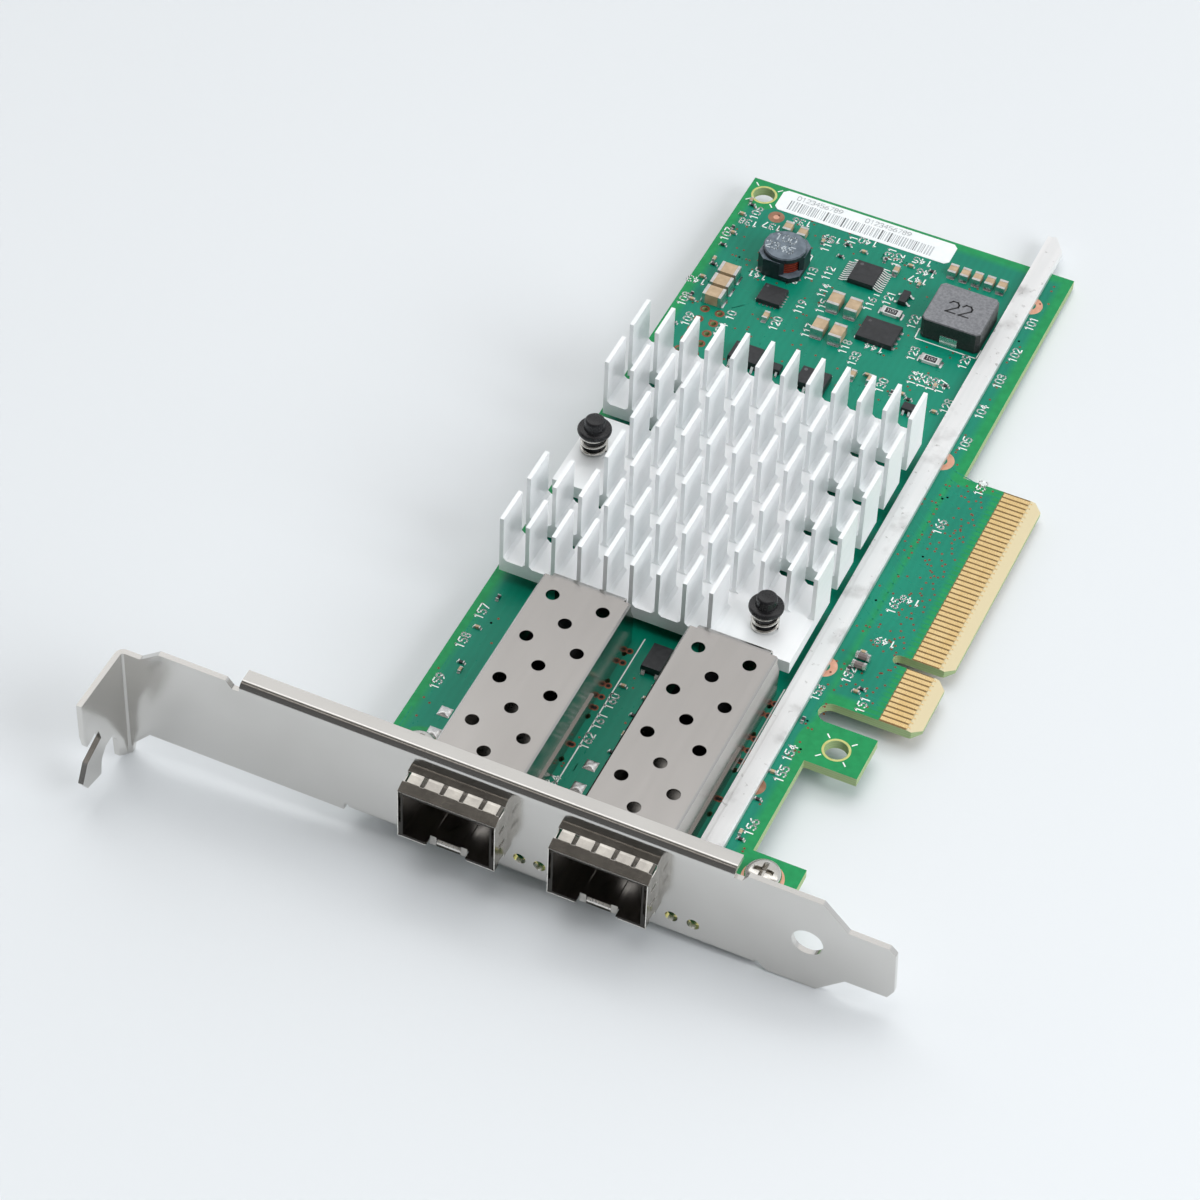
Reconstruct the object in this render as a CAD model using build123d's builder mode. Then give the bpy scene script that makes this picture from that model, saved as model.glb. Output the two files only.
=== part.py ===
from build123d import *
import os
from math import pi, cos, sin

# Network interface card with two transceiver cages and a full-height bracket.
# Millimetres. The origin is on the mating edge of the card's tongue, at the
# centre of its key notch and half way through the board. +X points out of
# that edge into the slot, +Y runs from the bracket to the far end of the
# board, and +Z points out of the component side.

os.makedirs("parts", exist_ok=True)

# Circuit board
board_thickness = 1.57
board_top = board_thickness / 2
board_bottom = -board_thickness / 2
board_height = 68.9  # mating edge of the tongue to the free long edge
board_setback = 13.15  # slot-side edge behind the mating edge
board_far = 88.5  # key centre to the far edge
leg_setback = 5.0  # ends of the two legs behind the mating edge
tongue_far = 39.15
tongue_near = 12.15
tongue_corner = 1.3
key_width = 1.9
key_depth = 9.0
slot_width = 3.65  # notch between the tongue and the retention leg
leg_width = 8.1
near_leg_far = -42.35
bevel_length = 1.9
bevel_depth = 0.45
hole_diameter = 3.5
board_holes = [(-65.9, 85.2), (-9.7, -20.1)]
header_pitch = 2.54
header_hole = 1.0
header_centre = (-62.4, 50.9)

# Gold contacts of the tongue
contact_pitch = 1.0
contact_width = 0.7
contact_length = 4.2
contact_end = -2.1
foil = 0.05

# Card bracket
sheet = 0.86
bracket_face = -57.15  # outer face, from the key centre
bracket_inner = bracket_face + sheet
bracket_top = board_top + 13.25
bracket_width = 18.42
bracket_low = bracket_top - bracket_width
bracket_end = -106.0
bracket_length = 120.02
bracket_tip = bracket_end + bracket_length
bend_inner = 0.44
bend_outer = bend_inner + sheet
lip_back = -53.9
top_lip = (-86.3, -10.4)
bottom_lip = (-69.3, -6.5)
flange_width = 21.59
flange_depth = 11.43
flange_top = board_top + 10.8
tab_hole = 4.7
tab_hole_centre = (0.95, board_top + 4.1)
lamp_hole = 1.9
lamp_z = board_top - 1.35
lamps = [-42.4, -39.3, -19.1, -15.8]
tab_centres = [-63.5, -10.0]
tab_width = 7.5
board_near = bracket_inner + 1.0
screw_y = -46.4
screw_head = 5.3
screw_shank = 2.5
screw_clearance = 3.0

# Transceiver cages
cage_centres = [-51.7, -28.6]
cage_width = 14.0
cage_height = 9.1
cage_wall = 0.3
cage_mouth = -61.6
cage_rear = -13.5
seam_height = 2.8
vent = 2.1
cage_bend = 1.5  # fold from the roof to the rear flap
base_rear = -28.0  # the low outer walls of the base end here
base_tails = [-30.0, -39.0, -48.0]
cover_tails = [-16.6, -22.6]
tail_width = 0.7
tail_hole = 1.05
notch_width = 6.0
notch_depth = 1.4
slit_offset = 2.4
slit_width = 0.9
base_reach = (cage_width + cage_wall) / 2
cover_reach = (cage_width - cage_wall) / 2
opening_width = 16.2
opening_low = board_top - 0.85
opening_high = board_top + 11.3
collar_sheet = 0.25
collar_crest = -60.0

# Heat sink
sink_left = -67.5
sink_right = -20.9
sink_near = -11.6
fin_rows = 6
row_pitch = 9.2
fin_length = 6.35
sink_far = sink_near + (fin_rows - 1) * row_pitch + fin_length
sink_bottom = board_top + 2.4
sink_floor = board_top + 4.7
sink_top = board_top + 13.3
fin_count = 12
fin_thickness = 0.65
fin_pitch = (sink_right - sink_left - fin_thickness) / (fin_count - 1)
root_flat = 0.5
window_reach = 9.1
pins = [(-64.6, 15.5), (-27.05, -6.4)]
pin_hole = 3.2

# Network controller under the heat sink
chip_centre = (-45.8, 4.5)
chip_size = 25.0
ball_height = 0.4
laminate = 0.9

# Stiffener bar
bar_left = -20.4
bar_width = 3.5
bar_thickness = 1.1
bar_near = -50.0
bar_far = 95.8
bar_fixings = [80.3, 41.5, -5.6, -31.0]
bar_fixing_x = bar_left + bar_width / 2
bar_screw = 2.0


def drilled(diameter, sides=12, mode=Mode.ADD):
    """Outline of a small repeated hole or post, drawn with few flats."""
    RegularPolygon(diameter / 2, sides, major_radius=False, mode=mode)


def both_sides(reach, rows):
    """Places of press-in tails at both side walls of both cages."""
    return [(c + s * reach, y) for c in cage_centres for s in (-1, 1) for y in rows]


def contact_rows():
    """Places of the contacts along the tongue: 11 before the key and 38 after it."""
    near = [-1.5 - contact_pitch * i for i in range(11)]
    far = [1.5 + contact_pitch * i for i in range(38)]
    return near + far


# The board is one outline with the tongue, two legs, the notch between them
# and the key notch, cut from one thickness of laminate.
with BuildPart() as circuit_board:
    with BuildSketch(Plane.XY.offset(board_bottom)) as outline:
        with Locations(((-board_height - board_setback) / 2, (board_far + board_near) / 2)):
            Rectangle(board_height - board_setback, board_far - board_near)
        with Locations((-board_setback - 1, -tongue_near)):
            Rectangle(board_setback + 1, tongue_near + tongue_far, align=(Align.MIN, Align.MIN))
        chamfer(outline.vertices().group_by(Axis.X)[-1], tongue_corner)
        with Locations((0, 0)):
            Rectangle(2 * (key_depth - key_width / 2), key_width, mode=Mode.SUBTRACT)
        chamfer(
            outline.vertices().group_by(Axis.X)[-1].filter_by(lambda v: abs(v.Y) < key_width),
            tongue_corner,
        )
        with Locations((-key_depth + key_width / 2, 0)):
            Circle(key_width / 2, mode=Mode.SUBTRACT)
        leg_far = -tongue_near - slot_width
        with Locations((-board_setback - 1, leg_far - leg_width)):
            Rectangle(board_setback + 1 - leg_setback, leg_width, align=(Align.MIN, Align.MIN))
        with Locations((-board_setback - 1, board_near)):
            Rectangle(
                board_setback + 1 - leg_setback,
                near_leg_far - board_near,
                align=(Align.MIN, Align.MIN),
            )
        with Locations((-board_setback, leg_far + slot_width / 2)):
            Circle(slot_width / 2, mode=Mode.SUBTRACT)
        with Locations(*board_holes):
            Circle(hole_diameter / 2, mode=Mode.SUBTRACT)
        with Locations(*pins):
            drilled(pin_hole, mode=Mode.SUBTRACT)
        with Locations(*[(x, screw_y) for x in tab_centres]):
            drilled(screw_clearance, mode=Mode.SUBTRACT)
        with Locations(*both_sides(base_reach, base_tails), *both_sides(cover_reach, cover_tails)):
            drilled(tail_hole, 6, mode=Mode.SUBTRACT)
        with Locations(*[(bar_fixing_x, y) for y in bar_fixings]):
            drilled(bar_screw + 0.1, 8, mode=Mode.SUBTRACT)
        with Locations(header_centre):
            with GridLocations(header_pitch, header_pitch, 2, 5):
                drilled(header_hole, 8, mode=Mode.SUBTRACT)
    extrude(amount=board_thickness)
    # Lead-in bevel on both faces of the mating edge
    with BuildSketch(Plane.XZ.offset(-tongue_far)) as bevels:
        with BuildLine():
            Polyline(
                (0, board_top - bevel_depth),
                (0, board_top + 0.1),
                (-bevel_length, board_top + 0.1),
                (-bevel_length, board_top),
                close=True,
            )
        make_face()
        mirror(about=Plane.XZ)
    extrude(amount=tongue_far + tongue_near, mode=Mode.SUBTRACT)
circuit_board.part.label = "circuit_board"
export_step(circuit_board.part, "parts/circuit_board.step")

# Gold contacts lie on both faces of the tongue and stop short of the bevel.
with BuildPart() as edge_contacts:
    for face in (board_top, board_bottom - foil):
        with BuildSketch(Plane.XY.offset(face)):
            with Locations(*[(contact_end - contact_length / 2, y) for y in contact_rows()]):
                Rectangle(contact_length, contact_width)
        extrude(amount=foil)
edge_contacts.part.label = "edge_contacts"
export_step(edge_contacts.part, "parts/edge_contacts.step")

# Bracket: a stamped plate with one flange, two bent lips and two board tabs.
with BuildPart() as bracket:
    plate_left = bracket_end + sheet + bend_inner
    z_low = bracket_low
    lip_top = bracket_top - bend_outer
    lip_low = bracket_low + bend_outer
    with BuildSketch(Plane.XZ.offset(-bracket_inner)) as plate:
        with BuildLine():
            Polyline(
                (plate_left, flange_top),
                (-102.2, flange_top),
                (-99.1, bracket_top),
                (-88.4, bracket_top),
                (-87.4, lip_top),
                (top_lip[1] + 1.2, lip_top),
                (top_lip[1] + 2.0, bracket_top),
                (2.6, bracket_top),
                (6.6, board_top + 9.2),
                (12.6, board_top + 9.1),
                (bracket_tip - 0.4, board_top + 8.1),
                (bracket_tip, board_top + 0.6),
                (13.1, board_top - 1.15),
                (6.9, board_top - 1.2),
                (2.8, z_low),
                (-4.6, z_low),
                (bottom_lip[1] + 0.7, lip_low),
                (bottom_lip[0] - 0.7, lip_low),
                (bottom_lip[0] - 0.7, z_low),
                (-101.5, z_low),
                (-104.3, board_top - 8.4),
                (plate_left, flange_top - flange_width),
                close=True,
            )
        make_face()
        with Locations(*[(x, (opening_low + opening_high) / 2) for x in cage_centres]):
            Rectangle(opening_width, opening_high - opening_low, mode=Mode.SUBTRACT)
        with Locations(tab_hole_centre):
            Circle(tab_hole / 2, mode=Mode.SUBTRACT)
        with Locations(*[(x, lamp_z) for x in lamps]):
            drilled(lamp_hole, 14, mode=Mode.SUBTRACT)
    extrude(amount=sheet)
    # Top lip, bent back over the board
    with BuildSketch(Plane.YZ.offset(top_lip[0])):
        with BuildLine():
            Line((bracket_face, lip_top), (bracket_inner, lip_top))
            RadiusArc((bracket_inner, lip_top), (bracket_face + bend_outer, bracket_top - sheet), bend_inner)
            Line((bracket_face + bend_outer, bracket_top - sheet), (lip_back, bracket_top - sheet))
            Line((lip_back, bracket_top - sheet), (lip_back, bracket_top))
            Line((lip_back, bracket_top), (bracket_face + bend_outer, bracket_top))
            RadiusArc((bracket_face + bend_outer, bracket_top), (bracket_face, lip_top), -bend_outer)
        make_face()
    extrude(amount=top_lip[1] - top_lip[0])
    # Bottom lip, bent back under the board
    with BuildSketch(Plane.YZ.offset(bottom_lip[0])):
        with BuildLine():
            Line((bracket_face, lip_low), (bracket_inner, lip_low))
            RadiusArc((bracket_inner, lip_low), (bracket_face + bend_outer, bracket_low + sheet), -bend_inner)
            Line((bracket_face + bend_outer, bracket_low + sheet), (lip_back, bracket_low + sheet))
            Line((lip_back, bracket_low + sheet), (lip_back, bracket_low))
            Line((lip_back, bracket_low), (bracket_face + bend_outer, bracket_low))
            RadiusArc((bracket_face + bend_outer, bracket_low), (bracket_face, lip_low), bend_outer)
        make_face()
    extrude(amount=bottom_lip[1] - bottom_lip[0])
    # Board tabs: they leave the bottom lip, step up and lie under the board
    for centre in tab_centres:
        with BuildSketch(Plane.YZ.offset(centre - tab_width / 2)) as step:
            with BuildLine():
                Polyline(
                    (lip_back - 0.2, bracket_low),
                    (-50.6, bracket_low),
                    (-49.8, board_bottom - sheet),
                    (-42.6, board_bottom - sheet),
                    (-42.6, board_bottom),
                    (-50.6, board_bottom),
                    (-51.4, bracket_low + sheet),
                    (lip_back - 0.2, bracket_low + sheet),
                    close=True,
                )
            make_face()
        extrude(amount=tab_width)
        with BuildSketch(Plane.XY.offset(board_bottom - 2 * sheet)):
            with Locations((centre, screw_y)):
                drilled(screw_shank + 1.4)
        extrude(amount=2 * sheet)
        with BuildSketch(Plane.XY.offset(board_bottom - 2 * sheet)):
            with Locations((centre, screw_y)):
                drilled(screw_shank)
        extrude(amount=2 * sheet, mode=Mode.SUBTRACT)
    # Bend to the screw flange
    flange_low = flange_top - flange_width
    flange_outer = bracket_face - flange_depth
    with BuildSketch(Plane.XY.offset(flange_low)):
        with BuildLine():
            Line((plate_left, bracket_inner), (plate_left, bracket_face))
            RadiusArc((plate_left, bracket_face), (bracket_end + sheet, bracket_face - bend_inner), -bend_inner)
            Line((bracket_end + sheet, bracket_face - bend_inner), (bracket_end, bracket_face - bend_inner))
            RadiusArc((bracket_end, bracket_face - bend_inner), (plate_left, bracket_inner), bend_outer)
        make_face()
    extrude(amount=flange_width)
    # Flange with its locating slit, leaning finger and open screw notch
    with BuildSketch(Plane.YZ.offset(bracket_end)) as flange:
        with BuildLine():
            Polyline(
                (bracket_face - bend_inner, flange_top),
                (flange_outer, flange_top),
                (flange_outer, board_top + 4.0),
                (flange_outer + 0.5, board_top + 1.7),
                (-67.3, board_top + 1.8),
                (-65.0, board_top + 2.6),
                (-64.3, board_top - 0.2),
                (-68.4, board_top - 1.7),
                (-70.0, board_top - 4.6),
                (-68.9, board_top - 6.5),
                (-65.1, board_top - 7.3),
                (-64.7, board_top - 4.6),
                (-63.3, board_top - 3.0),
                (-61.0, board_top - 2.8),
                (-60.1, board_top - 5.0),
                (-59.9, board_top - 8.8),
                (bracket_face - bend_inner, flange_low),
                close=True,
            )
        make_face()
        blunted = [v for v in flange.vertices() if v.Z < board_top + 3.0 and v.Y < bracket_face - 1.5]
        chamfer(blunted, 0.3)
        chamfer(flange.vertices().group_by(Axis.Z)[-1].sort_by(Axis.Y)[0:1], 0.7)
    extrude(amount=sheet)
bracket.part.label = "bracket"
export_step(bracket.part, "parts/bracket.step")

# Two pan head screws go down through the board into the tapped tabs.
with BuildPart() as bracket_screws:
    head_height = 1.9
    rim = 0.9  # height of the head's upright rim
    for centre in tab_centres:
        with BuildSketch(Plane.XY.offset(board_top)):
            with Locations((centre, screw_y)):
                drilled(screw_head, 14)
        extrude(amount=rim)
        with BuildSketch(Plane.XY.offset(board_top + rim)):
            with Locations((centre, screw_y)):
                drilled(screw_head, 14)
        extrude(amount=0.5, taper=45)
        with BuildSketch(Plane.XY.offset(board_top + rim + 0.5)):
            with Locations((centre, screw_y)):
                drilled(screw_head - 1.0, 14)
        extrude(amount=head_height - rim - 0.5, taper=60)
        with BuildSketch(Plane.XY.offset(board_top)):
            with Locations((centre, screw_y)):
                drilled(screw_shank)
        extrude(amount=-board_thickness - 2 * sheet - 0.4)
        with BuildSketch(Plane.XY.offset(board_top + head_height)):
            with Locations((centre, screw_y)):
                Rectangle(2.8, 0.6)
                Rectangle(0.6, 2.8)
        extrude(amount=-1.0, taper=12, mode=Mode.SUBTRACT)
bracket_screws.part.label = "bracket_screws"
export_step(bracket_screws.part, "parts/bracket_screws.step")


def cage_cover(centre):
    """Folded cover of one cage: vented roof, two sides, rear flap and press-in tails."""
    roof = board_top + cage_height
    fold = cage_rear - cage_bend
    with BuildPart() as cover:
        with BuildSketch(Plane.XZ.offset(-fold)) as section:
            with Locations((centre, board_top + cage_wall)):
                Rectangle(cage_width, cage_height - cage_wall, align=(Align.CENTER, Align.MIN))
            chamfer(section.vertices().group_by(Axis.Y)[-1], 0.3)
            with Locations((centre, board_top)):
                Rectangle(
                    cage_width - 2 * cage_wall,
                    cage_height - cage_wall,
                    align=(Align.CENTER, Align.MIN),
                    mode=Mode.SUBTRACT,
                )
        extrude(amount=fold - cage_mouth)
        # Roof folded down into the rear flap, narrower than the roof
        with BuildSketch(Plane.YZ.offset(centre - cage_width / 2 + 1.3)):
            with BuildLine():
                inner = cage_bend - cage_wall
                Line((fold, roof - cage_wall), (fold, roof))
                RadiusArc((fold, roof), (cage_rear, roof - cage_bend), cage_bend)
                Line((cage_rear, roof - cage_bend), (cage_rear, board_top + 1.0))
                Line((cage_rear, board_top + 1.0), (cage_rear - cage_wall, board_top + 1.0))
                Line((cage_rear - cage_wall, board_top + 1.0), (cage_rear - cage_wall, roof - cage_bend))
                RadiusArc((cage_rear - cage_wall, roof - cage_bend), (fold, roof - cage_wall), -inner)
            make_face()
        extrude(amount=cage_width - 2.6)
        # Rear ends of the sides stand on the board, cut back at the top for the fold
        for left in (centre - cage_width / 2, centre + cage_width / 2 - cage_wall):
            with BuildSketch(Plane.YZ.offset(left)):
                with BuildLine():
                    Polyline(
                        (base_rear, board_top),
                        (cage_rear - 0.6, board_top),
                        (cage_rear - 0.4, roof - 4.0),
                        (fold, roof - 1.6),
                        (fold, board_top + cage_wall),
                        (base_rear, board_top + cage_wall),
                        close=True,
                    )
                make_face()
            extrude(amount=cage_wall)
        with BuildSketch(Plane.XY.offset(board_bottom - 0.8)):
            with Locations(*[(centre + s * cover_reach, y) for s in (-1, 1) for y in cover_tails]):
                Rectangle(cage_wall, tail_width)
        extrude(amount=board_thickness + 0.8 + cage_wall)
        with BuildSketch(Plane.XY.offset(roof)):
            with Locations((centre, -31.75)):
                with GridLocations(8.0, 8.9, 2, 4):
                    drilled(vent, 10)
            with Locations((centre, -36.2)):
                with GridLocations(1, 8.95, 1, 4):
                    drilled(vent, 10)
        extrude(amount=-2 * cage_wall, mode=Mode.SUBTRACT)
    return cover.part


def cage_base(centre):
    """Folded base of one cage: floor, low outer sides, press-in tails and latch tongue."""
    outer = cage_width + 2 * cage_wall
    with BuildPart() as base:
        with BuildSketch(Plane.XZ.offset(-base_rear)):
            with Locations((centre, board_top)):
                Rectangle(outer, seam_height, align=(Align.CENTER, Align.MIN))
            with Locations((centre, board_top + cage_wall)):
                Rectangle(cage_width, seam_height, align=(Align.CENTER, Align.MIN), mode=Mode.SUBTRACT)
        extrude(amount=base_rear - cage_mouth)
        # The floor stops short in the middle of the mouth, and two slits free the
        # latch tongue, which holds a module by its triangle
        tip = cage_mouth + notch_depth
        with BuildSketch(Plane.XY.offset(board_top)):
            with Locations((centre, cage_mouth)):
                Rectangle(notch_width, notch_depth, align=(Align.CENTER, Align.MIN))
            with Locations((centre - slit_offset, tip + 1.4), (centre + slit_offset, tip + 1.4)):
                Rectangle(slit_width, 7.2, align=(Align.CENTER, Align.MIN))
            with BuildLine():
                Polyline(
                    (centre - 1.5, tip + 1.65),
                    (centre + 1.5, tip + 1.65),
                    (centre, tip + 4.05),
                    close=True,
                )
            make_face()
        extrude(amount=cage_wall, mode=Mode.SUBTRACT)
        # Lip of the tongue, turned down between its two shoulders
        with BuildSketch(Plane.YZ.offset(centre - slit_offset + slit_width / 2)):
            with BuildLine():
                Polyline(
                    (tip + 0.1, board_top),
                    (tip - 0.1, board_top - 0.9),
                    (tip - 0.35, board_top - 0.9),
                    (tip - 0.3, board_top + 0.1),
                    (tip, board_top + cage_wall),
                    (tip + 0.1, board_top + cage_wall),
                    close=True,
                )
            make_face()
        extrude(amount=2 * slit_offset - slit_width)
        with BuildSketch(Plane.XY.offset(board_bottom - 0.8)):
            with Locations(*[(centre + s * base_reach, y) for s in (-1, 1) for y in base_tails]):
                Rectangle(cage_wall, tail_width)
        extrude(amount=board_thickness + 0.8 + cage_wall)
    return base.part


def collar_funnel(centre, inset):
    """Four-sided funnel from the cage mouth out to the crest of the fingers, then straight back."""
    across = (cage_width + 2 * cage_wall + 0.02) / 2 + collar_sheet - inset
    crest = opening_width / 2 - inset
    low = board_top - 0.02 - collar_sheet + inset
    high = board_top + cage_height + 0.02 + collar_sheet - inset
    with BuildPart() as funnel:
        with BuildSketch(Plane.YZ.offset(centre - opening_width)):
            with BuildLine():
                Polyline(
                    (cage_mouth, low),
                    (collar_crest, opening_low + inset),
                    (bracket_inner, opening_low + inset),
                    (bracket_inner, opening_high - inset),
                    (collar_crest, opening_high - inset),
                    (cage_mouth, high),
                    close=True,
                )
            make_face()
        extrude(amount=2 * opening_width)
        with BuildSketch(Plane.XY.offset(opening_low)):
            with BuildLine():
                Polyline(
                    (centre - across, cage_mouth),
                    (centre - crest, collar_crest),
                    (centre - crest, bracket_inner),
                    (centre + crest, bracket_inner),
                    (centre + crest, collar_crest),
                    (centre + across, cage_mouth),
                    close=True,
                )
            make_face()
        extrude(amount=opening_high - opening_low, mode=Mode.INTERSECT)
    return funnel.part


def emi_collar(centre):
    """Spring collar round one cage mouth: its fingers press on the bracket opening."""
    with BuildPart() as collar:
        add(collar_funnel(centre, 0))
        add(collar_funnel(centre, collar_sheet), mode=Mode.SUBTRACT)
        # Slots part the fingers and leave a closed band at the mouth
        depth = bracket_inner - cage_mouth - 0.8
        with BuildSketch(Plane.XY.offset(board_top + cage_height / 2)):
            with Locations((centre, bracket_inner)):
                with GridLocations(2.95, 1, 4, 1):
                    Rectangle(0.55, depth, align=(Align.CENTER, Align.MAX))
        extrude(amount=cage_height, mode=Mode.SUBTRACT)
        with BuildSketch(Plane.YZ.offset(centre - opening_width)):
            with Locations((bracket_inner, board_top + 3.3), (bracket_inner, board_top + 7.2)):
                Rectangle(depth, 0.55, align=(Align.MAX, Align.CENTER))
        extrude(amount=2 * opening_width, mode=Mode.SUBTRACT)
        # Behind the band the four sides part at the corners
        with BuildSketch(Plane.XZ.offset(-bracket_inner)):
            with Locations((centre, (opening_low + opening_high) / 2)):
                with GridLocations(opening_width, opening_high - opening_low, 2, 2):
                    Rectangle(2.4, 2.4)
        extrude(amount=depth, mode=Mode.SUBTRACT)
        # The middle of the lower side stays open for the latch tongue
        with BuildSketch(Plane.XY.offset(opening_low - 1)):
            with Locations((centre, cage_mouth - 1)):
                Rectangle(6.4, 10, align=(Align.CENTER, Align.MIN))
        extrude(amount=board_top - opening_low + 1 + cage_wall, mode=Mode.SUBTRACT)
    return collar.part


def cage_connector(centre):
    """Card-edge connector in the back of one cage, open towards the mouth."""
    with BuildPart() as connector:
        with BuildSketch(Plane.YZ.offset(centre - 4.9)) as side:
            with BuildLine():
                Polyline(
                    (connector_front, board_top + cage_wall + 1.4),
                    (connector_front + 2.0, board_top + cage_wall + 1.4),
                    (connector_front + 2.0, board_top + cage_wall),
                    (connector_rear, board_top + cage_wall),
                    (connector_rear, board_top + 5.2),
                    (connector_rear - 3.0, board_top + 6.0),
                    (connector_front, board_top + 6.0),
                    close=True,
                )
            make_face()
        extrude(amount=9.8)
        with BuildSketch(Plane.XZ.offset(-connector_front)):
            with Locations((centre, board_top + 4.0)):
                Rectangle(8.6, 1.3)
        extrude(amount=-6.0, mode=Mode.SUBTRACT)
    return connector.part


connector_rear = cage_rear - 4.0
connector_front = connector_rear - 10.0

for index, centre in enumerate(cage_centres, start=1):
    cover_part = cage_cover(centre)
    cover_part.label = f"cage_cover_{index}"
    export_step(cover_part, f"parts/cage_cover_{index}.step")
    base_part = cage_base(centre)
    base_part.label = f"cage_base_{index}"
    export_step(base_part, f"parts/cage_base_{index}.step")
    collar_part = emi_collar(centre)
    collar_part.label = f"emi_collar_{index}"
    export_step(collar_part, f"parts/emi_collar_{index}.step")
    connector_part = cage_connector(centre)
    connector_part.label = f"cage_connector_{index}"
    export_step(connector_part, f"parts/cage_connector_{index}.step")

# Heat sink: an extruded comb of fins, then cross-cut into rows, with windows
# through the base at the ends of the cuts and clear ground round the two pins.
with BuildPart() as heat_sink:
    sink_width = sink_right - sink_left
    channel = fin_pitch - fin_thickness
    with BuildSketch(Plane.XZ.offset(-sink_far)) as comb:
        with Locations((sink_left, sink_bottom)):
            Rectangle(sink_width, sink_top - sink_bottom, align=(Align.MIN, Align.MIN))
    extrude(amount=sink_far - sink_near)
    with BuildSketch(Plane.XZ.offset(-sink_far)) as channels:
        with Locations(((sink_left + sink_right) / 2, sink_floor)):
            with GridLocations(fin_pitch, 1, fin_count - 1, 1):
                Rectangle(channel, sink_top - sink_floor, align=(Align.CENTER, Align.MIN))
        chamfer(channels.vertices().group_by(Axis.Y)[0], root_flat)
    extrude(amount=sink_far - sink_near, mode=Mode.SUBTRACT)
    cut_width = row_pitch - fin_length
    first_cut = sink_near + fin_length + cut_width / 2
    with BuildSketch(Plane.XY.offset(sink_floor)):
        with Locations(((sink_left + sink_right) / 2, first_cut + row_pitch * (fin_rows - 2) / 2)):
            with GridLocations(1, row_pitch, 1, fin_rows - 1):
                Rectangle(sink_width, cut_width)
    extrude(amount=sink_top - sink_floor, mode=Mode.SUBTRACT)
    # Windows through the base, numbered by cut from the bracket side
    left_windows = [0, 1, 3, 4]
    right_windows = [1, 2, 3, 4]
    with BuildSketch(Plane.XY.offset(sink_bottom)):
        with Locations(*[(sink_left, first_cut + row_pitch * k) for k in left_windows]):
            Rectangle(window_reach, cut_width, align=(Align.MIN, Align.CENTER))
        with Locations(*[(sink_right, first_cut + row_pitch * k) for k in right_windows]):
            Rectangle(window_reach, cut_width, align=(Align.MAX, Align.CENTER))
    extrude(amount=sink_floor - sink_bottom, mode=Mode.SUBTRACT)
    # Ground cleared of fins round the pins
    with BuildSketch(Plane.XY.offset(sink_floor)):
        with Locations((sink_left, sink_near + 2 * row_pitch - 0.1)):
            Rectangle(
                1.5 * fin_pitch + fin_thickness / 2,
                row_pitch + fin_length + 0.2,
                align=(Align.MIN, Align.MIN),
            )
        with Locations((sink_right, sink_near)):
            Rectangle(2.5 * fin_pitch + fin_thickness / 2, fin_length + 0.1, align=(Align.MAX, Align.MIN))
    extrude(amount=sink_top - sink_floor, mode=Mode.SUBTRACT)
    with BuildSketch(Plane.XY.offset(sink_bottom)):
        with Locations(*pins):
            drilled(pin_hole)
    extrude(amount=sink_floor - sink_bottom, mode=Mode.SUBTRACT)
heat_sink.part.label = "heat_sink"
export_step(heat_sink.part, "parts/heat_sink.step")

# Network controller: solder balls, laminate and moulded lid under a thermal pad.
lid_top = sink_bottom - 0.3
with BuildPart() as solder_balls:
    with BuildSketch(Plane.XY.offset(board_top)):
        with Locations(chip_centre):
            with GridLocations(9.0, 9.0, 3, 3):
                RegularPolygon(0.35, 6)
    extrude(amount=ball_height)
solder_balls.part.label = "solder_balls"
export_step(solder_balls.part, "parts/solder_balls.step")

with BuildPart() as controller_laminate:
    with BuildSketch(Plane.XY.offset(board_top + ball_height)):
        with Locations(chip_centre):
            Rectangle(chip_size, chip_size)
    extrude(amount=laminate)
controller_laminate.part.label = "controller_laminate"
export_step(controller_laminate.part, "parts/controller_laminate.step")

with BuildPart() as controller_lid:
    with BuildSketch(Plane.XY.offset(board_top + ball_height + laminate)):
        with Locations(chip_centre):
            Rectangle(chip_size - 3.0, chip_size - 3.0)
    extrude(amount=lid_top - board_top - ball_height - laminate, taper=10)
controller_lid.part.label = "controller_lid"
export_step(controller_lid.part, "parts/controller_lid.step")

with BuildPart() as thermal_pad:
    with BuildSketch(Plane.XY.offset(lid_top)):
        with Locations(chip_centre):
            Rectangle(chip_size - 5.0, chip_size - 5.0)
    extrude(amount=sink_bottom - lid_top)
thermal_pad.part.label = "thermal_pad"
export_step(thermal_pad.part, "parts/thermal_pad.step")


# Push pins hold the heat sink by their springs and hook under the board.
pin_flange_low = board_top + 8.4
pin_flange_high = board_top + 9.2
pin_top = board_top + 10.9
pin_shaft = 1.25
spring_wire = 0.5
spring_outer = 4.3
spring_turns = 2.6


def push_pin(place):
    """Moulded pin with a grip knob, a spring flange and a barbed foot below the board."""
    with BuildPart() as pin:
        # Barbed foot, wider than the hole and narrowing downwards
        with BuildSketch(Plane.XY.offset(board_bottom)):
            with Locations(place):
                drilled(3.8, 10)
        extrude(amount=-2.6, taper=24)
        with BuildSketch(Plane.XY.offset(board_bottom)):
            with Locations(place):
                drilled(2 * pin_shaft, 10)
        extrude(amount=pin_flange_low - board_bottom)
        with BuildSketch(Plane.XY.offset(pin_flange_low)):
            with Locations(place):
                drilled(5.3, 14)
        extrude(amount=pin_flange_high - pin_flange_low - 0.25)
        with BuildSketch(Plane.XY.offset(pin_flange_high - 0.25)):
            with Locations(place):
                drilled(5.3, 14)
        extrude(amount=0.25, taper=45)
        with BuildSketch(Plane.XY.offset(pin_flange_high)):
            with Locations(place):
                drilled(3.3, 10)
        extrude(amount=pin_top - pin_flange_high, taper=5)
    return pin.part


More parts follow.
